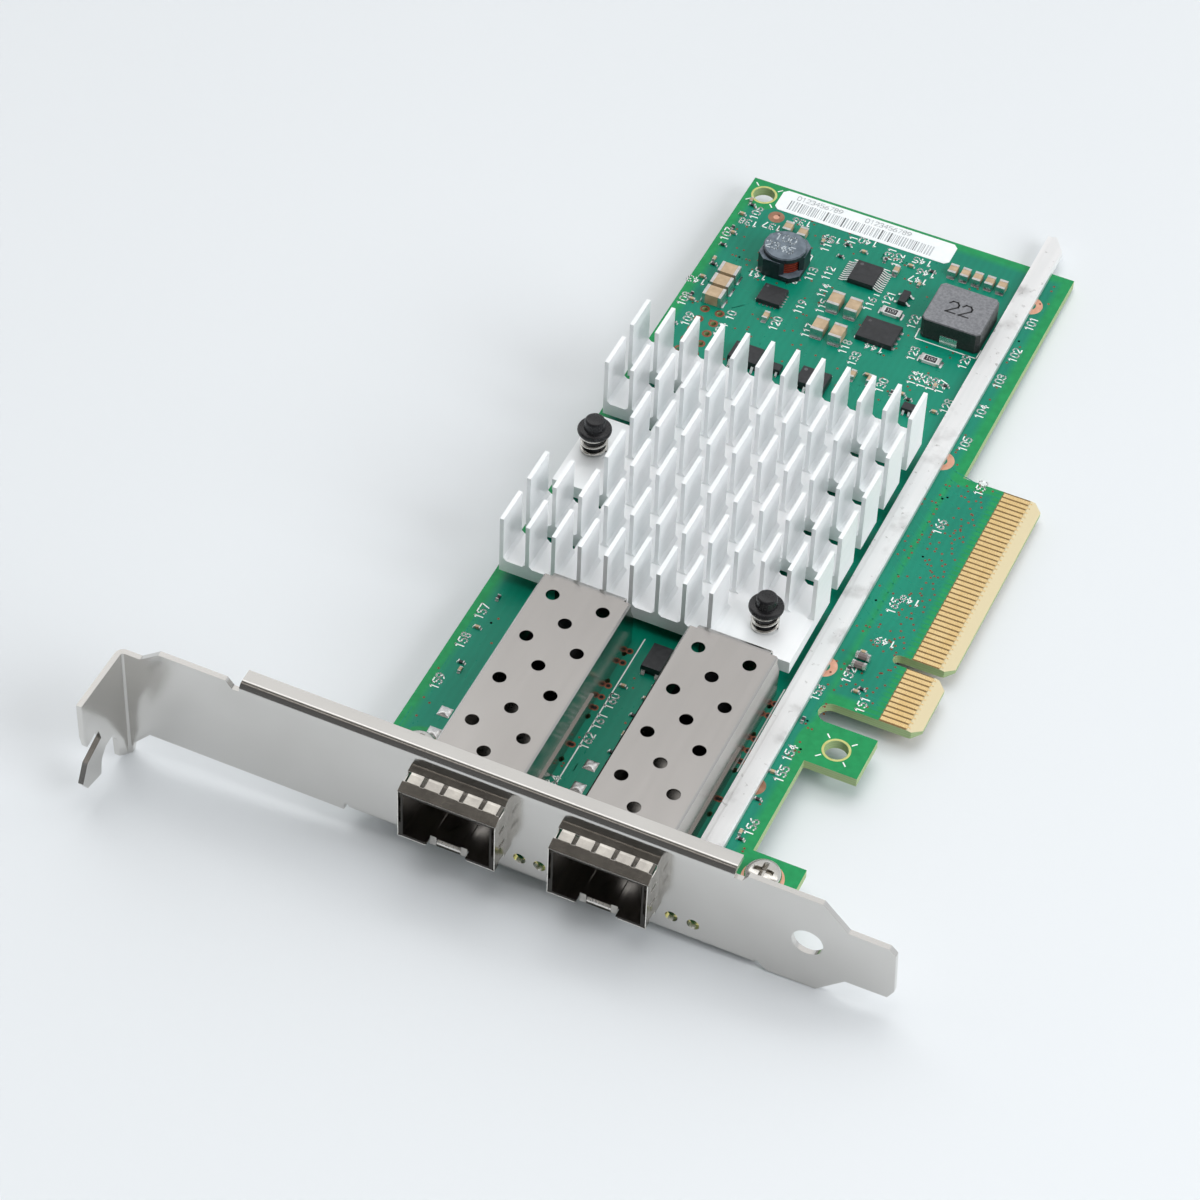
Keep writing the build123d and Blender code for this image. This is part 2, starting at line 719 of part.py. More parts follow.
def pin_spring(place):
    """Coil spring between the heat sink base and the pin's flange, ends ground flat."""
    mean = (spring_outer - spring_wire) / 2
    height = pin_flange_low - sink_floor
    steps = 26
    turn = 2 * pi * spring_turns / steps
    points = [
        (place[0] + mean * cos(turn * k), place[1] + mean * sin(turn * k), sink_floor + height * k / steps)
        for k in range(steps + 1)
    ]
    with BuildPart() as spring:
        with BuildLine() as coil:
            Polyline(*points)
        with BuildSketch(Plane(origin=coil.line @ 0, z_dir=coil.line % 0)):
            RegularPolygon(spring_wire / 2, 4)
        sweep(path=coil.line, transition=Transition.RIGHT)
        with BuildSketch(Plane.XY.offset(sink_floor - 1)):
            with Locations(place):
                Rectangle(6, 6)
        extrude(amount=1, mode=Mode.SUBTRACT)
        with BuildSketch(Plane.XY.offset(pin_flange_low)):
            with Locations(place):
                Rectangle(6, 6)
        extrude(amount=1, mode=Mode.SUBTRACT)
    return spring.part


for index, place in enumerate(pins, start=1):
    pin_part = push_pin(place)
    pin_part.label = f"push_pin_{index}"
    export_step(pin_part, f"parts/push_pin_{index}.step")
    spring_part = pin_spring(place)
    spring_part.label = f"pin_spring_{index}"
    export_step(spring_part, f"parts/pin_spring_{index}.step")

# Stiffener bar: flat strip with a low rebate along its inner edge, clipped at
# one corner of its far end and held by four screws from below.
rebate_width = 0.9
rebate_depth = 0.2
bar_seat = board_top
with BuildPart() as stiffener_bar:
    with BuildSketch(Plane.XY.offset(bar_seat)):
        with BuildLine():
            Polyline(
                (bar_left, bar_near),
                (bar_left + bar_width, bar_near),
                (bar_left + bar_width, bar_far - 3.0),
                (bar_left + bar_width - 2.0, bar_far),
                (bar_left, bar_far),
                close=True,
            )
        make_face()
    extrude(amount=bar_thickness)
    chamfer(stiffener_bar.faces().sort_by(Axis.Z)[-1].edges().sort_by(Axis.X)[-1], 0.2)
    with BuildSketch(Plane.XY.offset(bar_seat + bar_thickness)):
        with Locations((bar_left, bar_near)):
            Rectangle(rebate_width, bar_far - bar_near, align=(Align.MIN, Align.MIN))
    extrude(amount=-rebate_depth, mode=Mode.SUBTRACT)
    with BuildSketch(Plane.XY.offset(bar_seat)):
        with Locations(*[(bar_fixing_x, y) for y in bar_fixings]):
            drilled(bar_screw, 8)
    extrude(amount=0.7, mode=Mode.SUBTRACT)
stiffener_bar.part.label = "stiffener_bar"
export_step(stiffener_bar.part, "parts/stiffener_bar.step")

with BuildPart() as bar_screws:
    with BuildSketch(Plane.XY.offset(board_bottom - 0.8)):
        with Locations(*[(bar_fixing_x, y) for y in bar_fixings]):
            drilled(3.4, 6)
    extrude(amount=0.8)
    with BuildSketch(Plane.XY.offset(board_bottom)):
        with Locations(*[(bar_fixing_x, y) for y in bar_fixings]):
            drilled(bar_screw, 8)
    extrude(amount=bar_seat - board_bottom + 0.6)
bar_screws.part.label = "bar_screws"
export_step(bar_screws.part, "parts/bar_screws.step")


def chip_bodies(places, length, width, height, end, turned):
    """Middle blocks of two-ended chips, a little smaller than their metal ends."""
    skin = 0.03
    size = (length - 2 * end, width - 2 * skin)
    with BuildPart() as bodies:
        with BuildSketch(Plane.XY.offset(board_top + skin)):
            with Locations(*places):
                Rectangle(size[1], size[0]) if turned else Rectangle(size[0], size[1])
        extrude(amount=height - 2 * skin)
    return bodies.part


def chip_ends(places, length, width, height, end, turned):
    """Metal ends of two-ended chips, standing on the board."""
    half = (length - end) / 2
    with BuildPart() as ends:
        with BuildSketch(Plane.XY.offset(board_top)):
            for side in (-half, half):
                if turned:
                    with Locations(*[(x, y + side) for x, y in places]):
                        Rectangle(width, end)
                else:
                    with Locations(*[(x + side, y) for x, y in places]):
                        Rectangle(end, width)
        extrude(amount=height)
    return ends.part


def gull_leads(centre, body, span, count, pitch, width, height, along_x):
    """Two rows of bent leads beside one moulded body: out, down and flat on the board."""
    t = 0.15
    foot = body + 0.6 * (span - body)
    first = -pitch * (count - 1) / 2 - width / 2
    with BuildPart() as leads:
        for side in (-1, 1):
            out = (0, side, 0) if along_x else (side, 0, 0)
            row = (side, 0, 0) if along_x else (0, -side, 0)
            for k in range(count):
                start = first + pitch * k
                place = (centre[0] + start, centre[1]) if along_x else (centre[0], centre[1] - start)
                if side < 0:
                    place = (
                        (centre[0] + start + width, centre[1])
                        if along_x
                        else (centre[0], centre[1] - start - width)
                    )
                with BuildSketch(Plane(origin=(*place, board_top), x_dir=out, z_dir=row)):
                    with BuildLine():
                        Polyline(
                            (body, height + t / 2),
                            (foot, t),
                            (span, t),
                            (span, 0),
                            (foot - 0.1, 0),
                            (body, height - t / 2),
                            close=True,
                        )
                    make_face()
                extrude(amount=width)
    return leads.part


def moulded_body(places, length, width, height, lift):
    """Moulded IC bodies with a slight draft above and below the parting line."""
    middle = lift + (height - lift) / 2
    with BuildPart() as bodies:
        for way, reach in ((1, height - middle), (-1, middle - lift)):
            with BuildSketch(Plane.XY.offset(board_top + middle)):
                with Locations(*places):
                    Rectangle(length, width)
            extrude(amount=way * reach, taper=7)
    return bodies.part


def write(piece, name):
    """Labels one piece with its own name and writes it."""
    piece.label = name
    export_step(piece, f"parts/{name}.step")


# Two-ended chips: places, length, width, height, length of the metal ends and
# whether they stand along Y.
bulk = ([(-63.2, 64.4), (-63.2, 61.4), (-63.2, 58.4)], 3.2, 2.4, 2.0, 0.5, False)
medium = ([(-45.4, 66.0), (-42.3, 65.8), (-45.4, 59.4), (-42.3, 59.2)], 3.2, 2.1, 1.7, 0.5, True)
row_of_five = [(-31.3 + 2.1 * k, 81.4) for k in range(5)]
small = (row_of_five + [(-59.0, 78.9), (-56.4, 78.7)], 2.1, 1.4, 1.2, 0.45, True)
tiny = ([(-54.2, 58.4), (-39.6, 77.6), (-36.8, 52.2), (-33.9, 52.4)], 1.7, 0.9, 0.8, 0.35, True)
bridge = ([(-36.7, 68.2), (-27.1, 60.8)], 3.3, 1.6, 0.6, 0.45, False)
below = [(-45.8 + 5.0 * i, 4.5 + 5.0 * j) for i in (-1, 0, 1) for j in (-1, 0, 1)]

write(chip_bodies(*bulk), "bulk_capacitors")
write(chip_ends(*bulk), "bulk_capacitor_ends")
write(chip_bodies(*medium), "medium_capacitors")
write(chip_ends(*medium), "medium_capacitor_ends")
write(chip_bodies(*small), "small_capacitors")
write(chip_ends(*small), "small_capacitor_ends")
write(chip_bodies(*tiny), "tiny_capacitors")
write(chip_ends(*tiny), "tiny_capacitor_ends")
write(chip_bodies(*bridge), "sense_resistors")
write(chip_ends(*bridge), "sense_resistor_ends")

# Capacitors under the network controller, on the solder side
with BuildPart() as underside_capacitors:
    with BuildSketch(Plane.XY.offset(board_bottom)):
        with Locations(*below):
            Rectangle(1.6, 0.8)
    extrude(amount=-0.8)
write(underside_capacitors.part, "underside_capacitors")

# Moulded packages and their leads
write(moulded_body([(-43.6, 74.2)], 4.4, 4.9, 1.05, 0.1), "controller_body")
write(gull_leads((-43.6, 74.2), 2.2, 3.75, 10, 0.5, 0.24, 0.55, False), "controller_leads")
write(moulded_body([(-53.3, 48.2), (-41.7, 47.7)], 4.9, 3.9, 1.6, 0.12), "memory_bodies")
memory_leads = [
    gull_leads(place, 1.95, 3.0, 4, 1.27, 0.42, 0.85, True) for place in ((-53.3, 48.2), (-41.7, 47.7))
]
write(Compound(children=memory_leads), "memory_leads")
write(moulded_body([(-48.6, 47.9), (-25.7, 48.9)], 2.9, 1.6, 1.1, 0.1), "logic_bodies")
logic_leads = [
    gull_leads(place, 0.8, 1.4, 3, 0.95, 0.36, 0.6, True) for place in ((-48.6, 47.9), (-25.7, 48.9))
]
write(Compound(children=logic_leads), "logic_leads")
write(moulded_body([(-36.0, 72.0)], 1.3, 2.9, 1.0, 0.1), "transistor_body")
write(gull_leads((-36.0, 72.0), 0.65, 1.35, 2, 1.9, 0.42, 0.55, False), "transistor_leads")
write(moulded_body([(-39.6, -16.4)], 3.2, 5.0, 1.5, 0.1), "oscillator_body")
write(gull_leads((-39.6, -16.4), 2.5, 3.0, 2, 2.2, 0.6, 0.6, True), "oscillator_leads")


def leadless(centre, length, width, height, pads_x, pads_y, pad, name):
    """Flat moulded package whose pads show at the foot of its sides."""
    inset = 0.25
    with BuildPart() as body:
        with BuildSketch(Plane.XY.offset(board_top + 0.05)):
            with Locations(centre):
                Rectangle(length, width)
        extrude(amount=height - 0.05)
        chamfer(body.faces().sort_by(Axis.Z)[-1].edges(), 0.06)
    write(body.part, f"{name}_body")
    with BuildPart() as pads:
        with BuildSketch(Plane.XY.offset(board_top)):
            with Locations(centre):
                if pads_x:
                    with GridLocations(pads_x[1], width + 0.1, pads_x[0], 2):
                        Rectangle(pad, 0.5)
                if pads_y:
                    with GridLocations(length + 0.1, pads_y[1], 2, pads_y[0]):
                        Rectangle(0.5, pad)
        extrude(amount=0.05)
        with BuildSketch(Plane.XY.offset(board_top)):
            with Locations(centre):
                Rectangle(length - 4 * inset, width - 4 * inset)
        extrude(amount=0.05)
    write(pads.part, f"{name}_pads")


leadless((-55.1, 63.1), 4.0, 4.0, 0.9, (5, 0.65), (5, 0.65), 0.32, "regulator")
leadless((-36.6, 62.7), 6.2, 5.0, 1.0, None, (4, 1.27), 0.55, "power_stage")

# Two glass diodes lie beside the key notch: a sleeve between two end caps.
diodes = [(-12.9, -2.2), (-12.8, -4.0)]
diode_length = 2.2
diode_radius = 0.6
with BuildPart() as diode_sleeves:
    for x, y in diodes:
        with BuildSketch(Plane.YZ.offset(x - diode_length / 2 + 0.45)):
            with Locations((y, board_top + diode_radius)):
                RegularPolygon(diode_radius - 0.05, 8)
        extrude(amount=diode_length - 0.9)
write(diode_sleeves.part, "diode_sleeves")
with BuildPart() as diode_caps:
    for x, y in diodes:
        for left in (x - diode_length / 2, x + diode_length / 2 - 0.45):
            with BuildSketch(Plane.YZ.offset(left)):
                with Locations((y, board_top + diode_radius)):
                    RegularPolygon(diode_radius, 8)
            extrude(amount=0.45)
write(diode_caps.part, "diode_caps")

# Round inductor: a drum core in a ferrite ring that is open at one corner,
# where the winding comes out to its clip.
drum_centre = (-56.4, 70.9)
drum_height = 4.5
drum_radius = 3.5
drum_flange = 0.9
ring_size = 7.2
ring_corner = 1.3
with BuildPart() as drum_core:
    with BuildSketch(Plane.XY.offset(board_top + 0.15)) as foot:
        with Locations(drum_centre):
            Rectangle(ring_size, ring_size)
        chamfer(foot.vertices(), ring_corner)
    extrude(amount=drum_flange)
    with BuildSketch(Plane.XY.offset(board_top + 0.15 + drum_flange)):
        with Locations(drum_centre):
            drilled(3.4)
    extrude(amount=drum_height - 0.15 - 2 * drum_flange)
    with BuildSketch(Plane.XY.offset(board_top + drum_height - drum_flange)):
        with Locations(drum_centre):
            drilled(2 * drum_radius, 28)
    extrude(amount=drum_flange)
    chamfer(drum_core.faces().sort_by(Axis.Z)[-1].edges(), 0.2)
write(drum_core.part, "drum_core")
ring_low = board_top + 0.15 + drum_flange
ring_high = board_top + drum_height - drum_flange
with BuildPart() as drum_ring:
    with BuildSketch(Plane.XY.offset(ring_low)) as wall:
        with Locations(drum_centre):
            Rectangle(ring_size, ring_size)
        chamfer(wall.vertices(), ring_corner)
        with Locations(drum_centre):
            drilled(2 * drum_radius - 0.7, 20, mode=Mode.SUBTRACT)
        with Locations((drum_centre[0] + ring_size / 2, drum_centre[1] - ring_size / 2)):
            Rectangle(4.4, 4.4, rotation=45, mode=Mode.SUBTRACT)
    extrude(amount=ring_high - ring_low)
write(drum_ring.part, "drum_ring")
with BuildPart() as drum_winding:
    with BuildSketch(Plane.XY.offset(ring_low)):
        with Locations(drum_centre):
            drilled(2 * drum_radius - 1.2, 20)
            drilled(3.45, mode=Mode.SUBTRACT)
    extrude(amount=ring_high - ring_low)
write(drum_winding.part, "drum_winding")
with BuildPart() as drum_terminals:
    with BuildSketch(Plane.XY.offset(board_top)):
        with Locations(drum_centre):
            with Locations((2.3, -2.3), (-2.3, 2.3)):
                Rectangle(2.6, 2.0, rotation=45)
    extrude(amount=0.15)
write(drum_terminals.part, "drum_terminals")

# Square inductor: pressed powder block with a flat clip folded up each end
block_centre = (-25.95, 70.1)
block_length = 9.9
block_width = 9.4
block_height = 4.0
with BuildPart() as square_inductor:
    with BuildSketch(Plane.XY.offset(board_top + 0.15)) as block:
        with Locations(block_centre):
            Rectangle(block_length, block_width)
        chamfer(block.vertices(), 0.6)
    extrude(amount=block_height - 0.15)
    chamfer(square_inductor.faces().sort_by(Axis.Z)[-1].edges(), 0.15)
write(square_inductor.part, "square_inductor")
with BuildPart() as square_inductor_terminals:
    for side in (-1, 1):
        edge = block_centre[1] + side * block_width / 2
        with BuildSketch(Plane.YZ.offset(block_centre[0] - 1.45)):
            with BuildLine():
                Polyline(
                    (edge - side * 2.2, board_top),
                    (edge + side * 0.15, board_top),
                    (edge + side * 0.15, board_top + 1.7),
                    (edge, board_top + 1.7),
                    (edge, board_top + 0.15),
                    (edge - side * 2.2, board_top + 0.15),
                    close=True,
                )
            make_face()
        extrude(amount=2.9)
write(square_inductor_terminals.part, "square_inductor_terminals")

# Paper label along the far edge, with nothing printed on it
with BuildPart() as blank_label:
    with BuildSketch(Plane.XY.offset(board_top)) as sticker:
        with Locations((-48.05, 85.4)):
            Rectangle(30.5, 5.0)
        chamfer(sticker.vertices(), 0.7)
    extrude(amount=0.08)
write(blank_label.part, "blank_label")

# Status lamps under the board, looking out through the bracket's round holes
with BuildPart() as status_lamps:
    with BuildSketch(Plane.XY.offset(board_bottom)):
        with Locations(*[(x, board_near) for x in lamps]):
            Rectangle(1.7, 2.4, align=(Align.CENTER, Align.MIN))
    extrude(amount=-1.3)
write(status_lamps.part, "status_lamps")

# Contacts of the two cage connectors: beams in the slot and feet behind it
contact_step = 0.8
with BuildPart() as connector_contacts:
    slot_low = board_top + 4.0 - 0.65
    slot_high = board_top + 4.0 + 0.65
    for level in (slot_low,):
        with BuildSketch(Plane.XY.offset(level)):
            for centre in cage_centres:
                with Locations((centre, connector_front + 3.4)):
                    with GridLocations(contact_step, 1, 10, 1):
                        Rectangle(0.35, 4.4)
        extrude(amount=0.12)
    with BuildSketch(Plane.XY.offset(board_top)):
        for centre in cage_centres:
            with Locations((centre, connector_rear + 0.1)):
                with GridLocations(contact_step, 1, 10, 1):
                    Rectangle(0.35, 1.4)
    extrude(amount=cage_wall)
write(connector_contacts.part, "connector_contacts")
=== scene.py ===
"""Network interface card with two transceiver cages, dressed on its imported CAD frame."""

import math

import bpy
import numpy as np
from mathutils import Matrix


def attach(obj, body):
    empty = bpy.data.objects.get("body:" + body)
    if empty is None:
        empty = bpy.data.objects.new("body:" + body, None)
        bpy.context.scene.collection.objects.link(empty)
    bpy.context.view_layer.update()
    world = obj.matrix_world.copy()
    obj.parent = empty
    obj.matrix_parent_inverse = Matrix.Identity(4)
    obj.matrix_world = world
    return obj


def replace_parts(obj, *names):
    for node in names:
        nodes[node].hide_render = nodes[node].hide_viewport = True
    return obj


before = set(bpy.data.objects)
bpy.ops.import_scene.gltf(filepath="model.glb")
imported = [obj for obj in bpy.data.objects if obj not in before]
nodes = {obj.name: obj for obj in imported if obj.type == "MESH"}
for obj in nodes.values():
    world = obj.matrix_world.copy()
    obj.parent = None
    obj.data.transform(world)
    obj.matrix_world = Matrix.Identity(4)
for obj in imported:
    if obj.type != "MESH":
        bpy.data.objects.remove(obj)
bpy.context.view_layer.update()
mm = 0.001

# Circuit board: green FR-4 laminate, 1.57 mm thick. Solder mask covers copper
# planes that stop short of the cut edges, so the rim and the two legs let light
# through. Heights are given in mm from the component side, at z = face.
face = 0.785


def add(tree, kind, inputs=None, **settings):
    """Adds one shader node; an input is given as a value or as the socket that feeds it."""
    made = tree.nodes.new(kind)
    for key, value in settings.items():
        setattr(made, key, value)
    for key, value in (inputs or {}).items():
        if isinstance(value, bpy.types.NodeSocket):
            tree.links.new(value, made.inputs[key])
        else:
            made.inputs[key].default_value = value
    return made


def calc(tree, operation, *values):
    """Socket of one maths step on values or sockets."""
    return add(tree, "ShaderNodeMath", dict(enumerate(values)), operation=operation).outputs[0]


def blend(tree, factor, first, second):
    """Socket of a colour that goes from first to second as factor goes from 0 to 1."""
    made = add(tree, "ShaderNodeMix", data_type="RGBA")
    for index, value in ((0, factor), (6, first), (7, second)):
        if isinstance(value, bpy.types.NodeSocket):
            tree.links.new(value, made.inputs[index])
        else:
            made.inputs[index].default_value = value if index == 0 else (*value, 1)
    return made.outputs[2]


def noise(tree, place, scale, detail=3.0, stretch=(1, 1, 1)):
    """Socket of noise on object coordinates, stretched along an axis where asked."""
    mapped = add(tree, "ShaderNodeMapping", {"Vector": place, "Scale": stretch})
    made = add(
        tree, "ShaderNodeTexNoise", {"Vector": mapped.outputs[0], "Scale": scale, "Detail": detail}
    )
    return made.outputs["Fac"]


def remap(tree, value, from_low, from_high, to_low, to_high):
    """Socket of value carried from one range to another, held at its ends."""
    return add(
        tree,
        "ShaderNodeMapRange",
        {0: value, 1: from_low, 2: from_high, 3: to_low, 4: to_high},
    ).outputs[0]


def start(name, **shader):
    """A new material: its tree, its shader and its object coordinates."""
    made = bpy.data.materials.new(name)
    made.use_nodes = True
    tree = made.node_tree
    body = tree.nodes["Principled BSDF"]
    for key, value in shader.items():
        body.inputs[key.replace("_", " ")].default_value = value
    place = add(tree, "ShaderNodeTexCoord").outputs["Object"]
    return made, tree, body, place


def bump(tree, body, height, distance):
    """Raises the surface by height times distance, in metres."""
    relief = {"Height": height, "Distance": distance, "Strength": 1.0}
    tree.links.new(add(tree, "ShaderNodeBump", relief).outputs[0], body.inputs["Normal"])


def finish(
    name, first, second, rough, metal=0.0, scale=300, stretch=(1, 1, 1),
    relief=2e-6, spread=0.06, **more,
):
    """A material between two tones, with its roughness and a fine relief from noise."""
    made, tree, body, place = start(name, Metallic=metal, **more)
    broad = noise(tree, place, scale, 4.0, stretch)
    fine = noise(tree, place, scale * 6, 2.0, stretch)
    tone = blend(tree, remap(tree, broad, 0.3, 0.7, 0, 1), first, second)
    tree.links.new(tone, body.inputs["Base Color"])
    matt = remap(tree, fine, 0.3, 0.7, rough - spread, rough + spread)
    tree.links.new(matt, body.inputs["Roughness"])
    bump(tree, body, fine, relief)
    return made


def dress(node, material):
    """Gives one CAD node its material."""
    mesh = nodes[node].data
    if not mesh.materials:
        mesh.materials.append(material)
    for slot in nodes[node].material_slots:
        slot.material = material


def surface(name, points, faces, material, smooth=False, sharp=35):
    """A mesh object from arrays of points and faces, riding on the card."""
    mesh = bpy.data.meshes.new(name)
    mesh.from_pydata(np.asarray(points).reshape(-1, 3).tolist(), [], np.asarray(faces).tolist())
    mesh.materials.append(material)
    if smooth:
        mesh.shade_smooth()
        mesh.set_sharp_from_angle(angle=math.radians(sharp))
    made = bpy.data.objects.new(name, mesh)
    bpy.context.scene.collection.objects.link(made)
    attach(made, "root")
    return made


def rings(centres, inner, outer, z, sides=16):
    """Flat rings: each corner is its centre plus a radius at equal turns, inner row first."""
    turn = np.arange(sides) * 2 * np.pi / sides
    rim = np.stack([np.cos(turn), np.sin(turn)], 1)
    both = np.stack([inner * rim, outer * rim], 0).reshape(1, -1, 2)
    flat = both + np.asarray(centres)[:, None, :]
    points = np.concatenate([flat, np.full(flat.shape[:2] + (1,), z)], 2) * mm
    k = np.arange(sides)
    quad = np.stack([k, k + sides, (k + 1) % sides + sides, (k + 1) % sides], 1)
    faces = (quad[None] + 2 * sides * np.arange(len(flat))[:, None, None]).reshape(-1, 4)
    return points.reshape(-1, 3), faces


def discs(centres, radius, z, sides=12):
    """Flat discs, one face each: corners at equal turns round each centre."""
    turn = np.arange(sides) * 2 * np.pi / sides
    rim = radius * np.stack([np.cos(turn), np.sin(turn)], 1)
    flat = rim[None] + np.asarray(centres)[:, None, :]
    points = np.concatenate([flat, np.full(flat.shape[:2] + (1,), z)], 2) * mm
    return points.reshape(-1, 3), np.arange(len(flat) * sides).reshape(-1, sides)


def strokes(lines, width, z):
    """Flat strips along straight runs: corners lie half the width past the ends and aside."""
    lines = np.asarray(lines, float).reshape(-1, 2, 2)
    along = lines[:, 1] - lines[:, 0]
    along = along / np.maximum(np.linalg.norm(along, axis=1, keepdims=True), 1e-9) * width / 2
    side = np.stack([-along[:, 1], along[:, 0]], 1)
    a = lines[:, 0] - along
    b = lines[:, 1] + along
    flat = np.stack([a - side, b - side, b + side, a + side], 1)
    points = np.concatenate([flat, np.full(flat.shape[:2] + (1,), z)], 2) * mm
    return points.reshape(-1, 3), np.arange(len(flat) * 4).reshape(-1, 4)


def joined(*parts):
    """Several sets of points and faces as one; all faces have the same number of corners."""
    shift = np.cumsum([0] + [len(p) for p, f in parts[:-1]])
    faces = [f + s for (p, f), s in zip(parts, shift)]
    return np.concatenate([p for p, f in parts]), np.concatenate(faces)


def below(points, faces):
    """The same faces turned over: every height changes sign and every face its order."""
    return points * (1, 1, -1), np.asarray(faces)[:, ::-1]


def inside(tree, place, west, east, south, north, soft=0.25):
    """Socket that is 1 inside a rectangle in mm and falls to 0 across its border."""
    centre = ((west + east) / 2 * mm, (south + north) / 2 * mm, 0)
    shifted = add(tree, "ShaderNodeVectorMath", {0: place, 1: centre}, operation="SUBTRACT")
    size = add(
        tree, "ShaderNodeVectorMath", {0: shifted.outputs[0]}, operation="ABSOLUTE"
    ).outputs[0]
    parts = add(tree, "ShaderNodeSeparateXYZ", {0: size}).outputs
    x = calc(tree, "SUBTRACT", parts[0], (east - west) / 2 * mm)
    y = calc(tree, "SUBTRACT", parts[1], (north - south) / 2 * mm)
    return remap(tree, calc(tree, "MAXIMUM", x, y), -soft * mm, 0, 1, 0)


mask, tree, body, place = start("solder_mask", IOR=1.38)
parts = add(tree, "ShaderNodeSeparateXYZ", {0: place}).outputs
wobble = noise(tree, place, 900, 2.0)
planes = inside(tree, place, -67.9, -14.4, -53.9, 87.5, 1.3)
for west, east, south, north in ((-14.8, -7.2, -10.6, 37.8), (-14.8, -12.2, -54.0, -44.0)):
    planes = calc(tree, "MAXIMUM", planes, inside(tree, place, west, east, south, north, 0.9))
for x, y, radius in (
    (-65.9, 85.2, 3.4), (-9.7, -20.1, 6.0), (-10.0, -46.4, 4.2), (-63.5, -46.4, 4.2),
):
    hole = (x * mm, y * mm, face * mm)
    spot = add(tree, "ShaderNodeVectorMath", {0: place, 1: hole}, operation="DISTANCE")
    clear = remap(tree, spot.outputs["Value"], radius * mm, (radius + 0.3) * mm, 0, 1)
    planes = calc(tree, "MULTIPLY", planes, clear)
cloud = remap(tree, noise(tree, place, 55, 5.0), 0.35, 0.65, 0, 1)
deep = blend(tree, cloud, (0.0010, 0.190, 0.120), (0.0020, 0.235, 0.148))
cloth = {"Vector": place, "Scale": 260.0, "Distortion": 3.0, "Detail": 2.0}
weave = add(tree, "ShaderNodeTexWave", cloth).outputs[0]
deep = blend(tree, calc(tree, "MULTIPLY", weave, 0.16), deep, (0.004, 0.29, 0.185))
patchy = remap(tree, wobble, 0.3, 0.7, 0, 1)
rim = blend(tree, patchy, (0.004, 0.245, 0.075), (0.008, 0.295, 0.092))
green = blend(tree, planes, rim, deep)
# Bare laminate between and beyond the contacts of the tongue
tongue = inside(tree, place, -6.5, 3.0, -14.0, 41.0, 0.1)
tip = remap(tree, parts[0], -2.25 * mm, -2.0 * mm, 0, 1)
glass = blend(tree, tip, (0.20, 0.125, 0.045), (0.67, 0.58, 0.37))
green = blend(tree, tongue, green, glass)
# Cut sides show the glass cloth
facing = add(tree, "ShaderNodeNewGeometry").outputs["Normal"]
upright = calc(tree, "ABSOLUTE", add(tree, "ShaderNodeSeparateXYZ", {0: facing}).outputs[2])
side = remap(tree, upright, 0.2, 0.6, 1, 0)
sheets = {"Vector": place, "Scale": 700.0, "Distortion": 1.0}
layers = add(tree, "ShaderNodeTexWave", sheets, bands_direction="Z").outputs[0]
cut = blend(tree, calc(tree, "MULTIPLY", layers, 0.5), (0.34, 0.46, 0.22), (0.46, 0.55, 0.32))
tree.links.new(blend(tree, side, green, cut), body.inputs["Base Color"])
tree.links.new(blend(tree, side, (0.3, 0.3, 0.3), (0.7, 0.7, 0.7)), body.inputs["Roughness"])
raised = calc(tree, "MULTIPLY", planes, 3.0)
bump(tree, body, calc(tree, "ADD", noise(tree, place, 2500, 2.0), raised), 4e-6)
dress("circuit_board", mask)

# Copper tracks under the mask, 0.17 mm wide: short runs from the tongue's
# contacts to their vias, pairs that fan out from there, and loose runs elsewhere.
track = finish("masked_track", (0.002, 0.215, 0.135), (0.004, 0.255, 0.160), 0.3, IOR=1.38)
bare_copper = finish("bare_copper", (0.66, 0.33, 0.22), (0.78, 0.44, 0.31), 0.42, 0.35, 900)
red_copper = finish("hole_copper", (0.20, 0.060, 0.030), (0.32, 0.11, 0.06), 0.4, 0.4, 900)
via_core = finish("via_core", (0.10, 0.030, 0.018), (0.16, 0.05, 0.03), 0.5, 0.2, 900)
chance = np.random.default_rng(11)
contacts_y = np.array([-1.5 - i for i in range(11)] + [1.5 + i for i in range(38)])
contact_count = len(contacts_y)
inner_x = -6.4  # inner ends of the contacts
stagger = ((np.arange(contact_count) * 5) % 4) / 4
run = 1.6 + 2.2 * stagger + chance.uniform(0, 0.4, contact_count)
ends = np.stack([inner_x - run, contacts_y], 1)
starts = np.stack([np.full(contact_count, inner_x), contacts_y], 1)
lines = [np.stack([starts, ends], 1)]
pairs_y = contacts_y[12::2]
fan = np.stack([-8.6 - run[12::2], pairs_y + 0.3], 1)
knee = np.stack([np.full(len(pairs_y), -14.6), pairs_y + 1.4], 1)
lines += [np.stack([fan, knee], 1), np.stack([knee, knee + (-7.0, 5.5)], 1)]
for west, east, south, north, count, slope in (
    (-66.5, -24.0, 42.5, 84.0, 150, 1),
    (-68.0, -60.0, -50.0, -13.0, 26, 0),
    (-44.0, -36.4, -52.0, -13.0, 34, 0),
    (-20.6, -14.8, -50.0, 86.0, 60, 0),
):
    begin = np.stack([chance.uniform(west, east, count), chance.uniform(south, north, count)], 1)
    way = chance.integers(0, 4, count) * np.pi / 4 * slope + (0 if slope else np.pi / 2)
    reach = chance.uniform(1.0, 5.0, count)[:, None] * np.stack([np.cos(way), np.sin(way)], 1)
    stop = np.clip(begin + reach, (west, south), (east, north))
    lines.append(np.stack([begin, stop], 1))
surface("copper_tracks", *strokes(np.concatenate(lines), 0.17, face + 0.006), track)

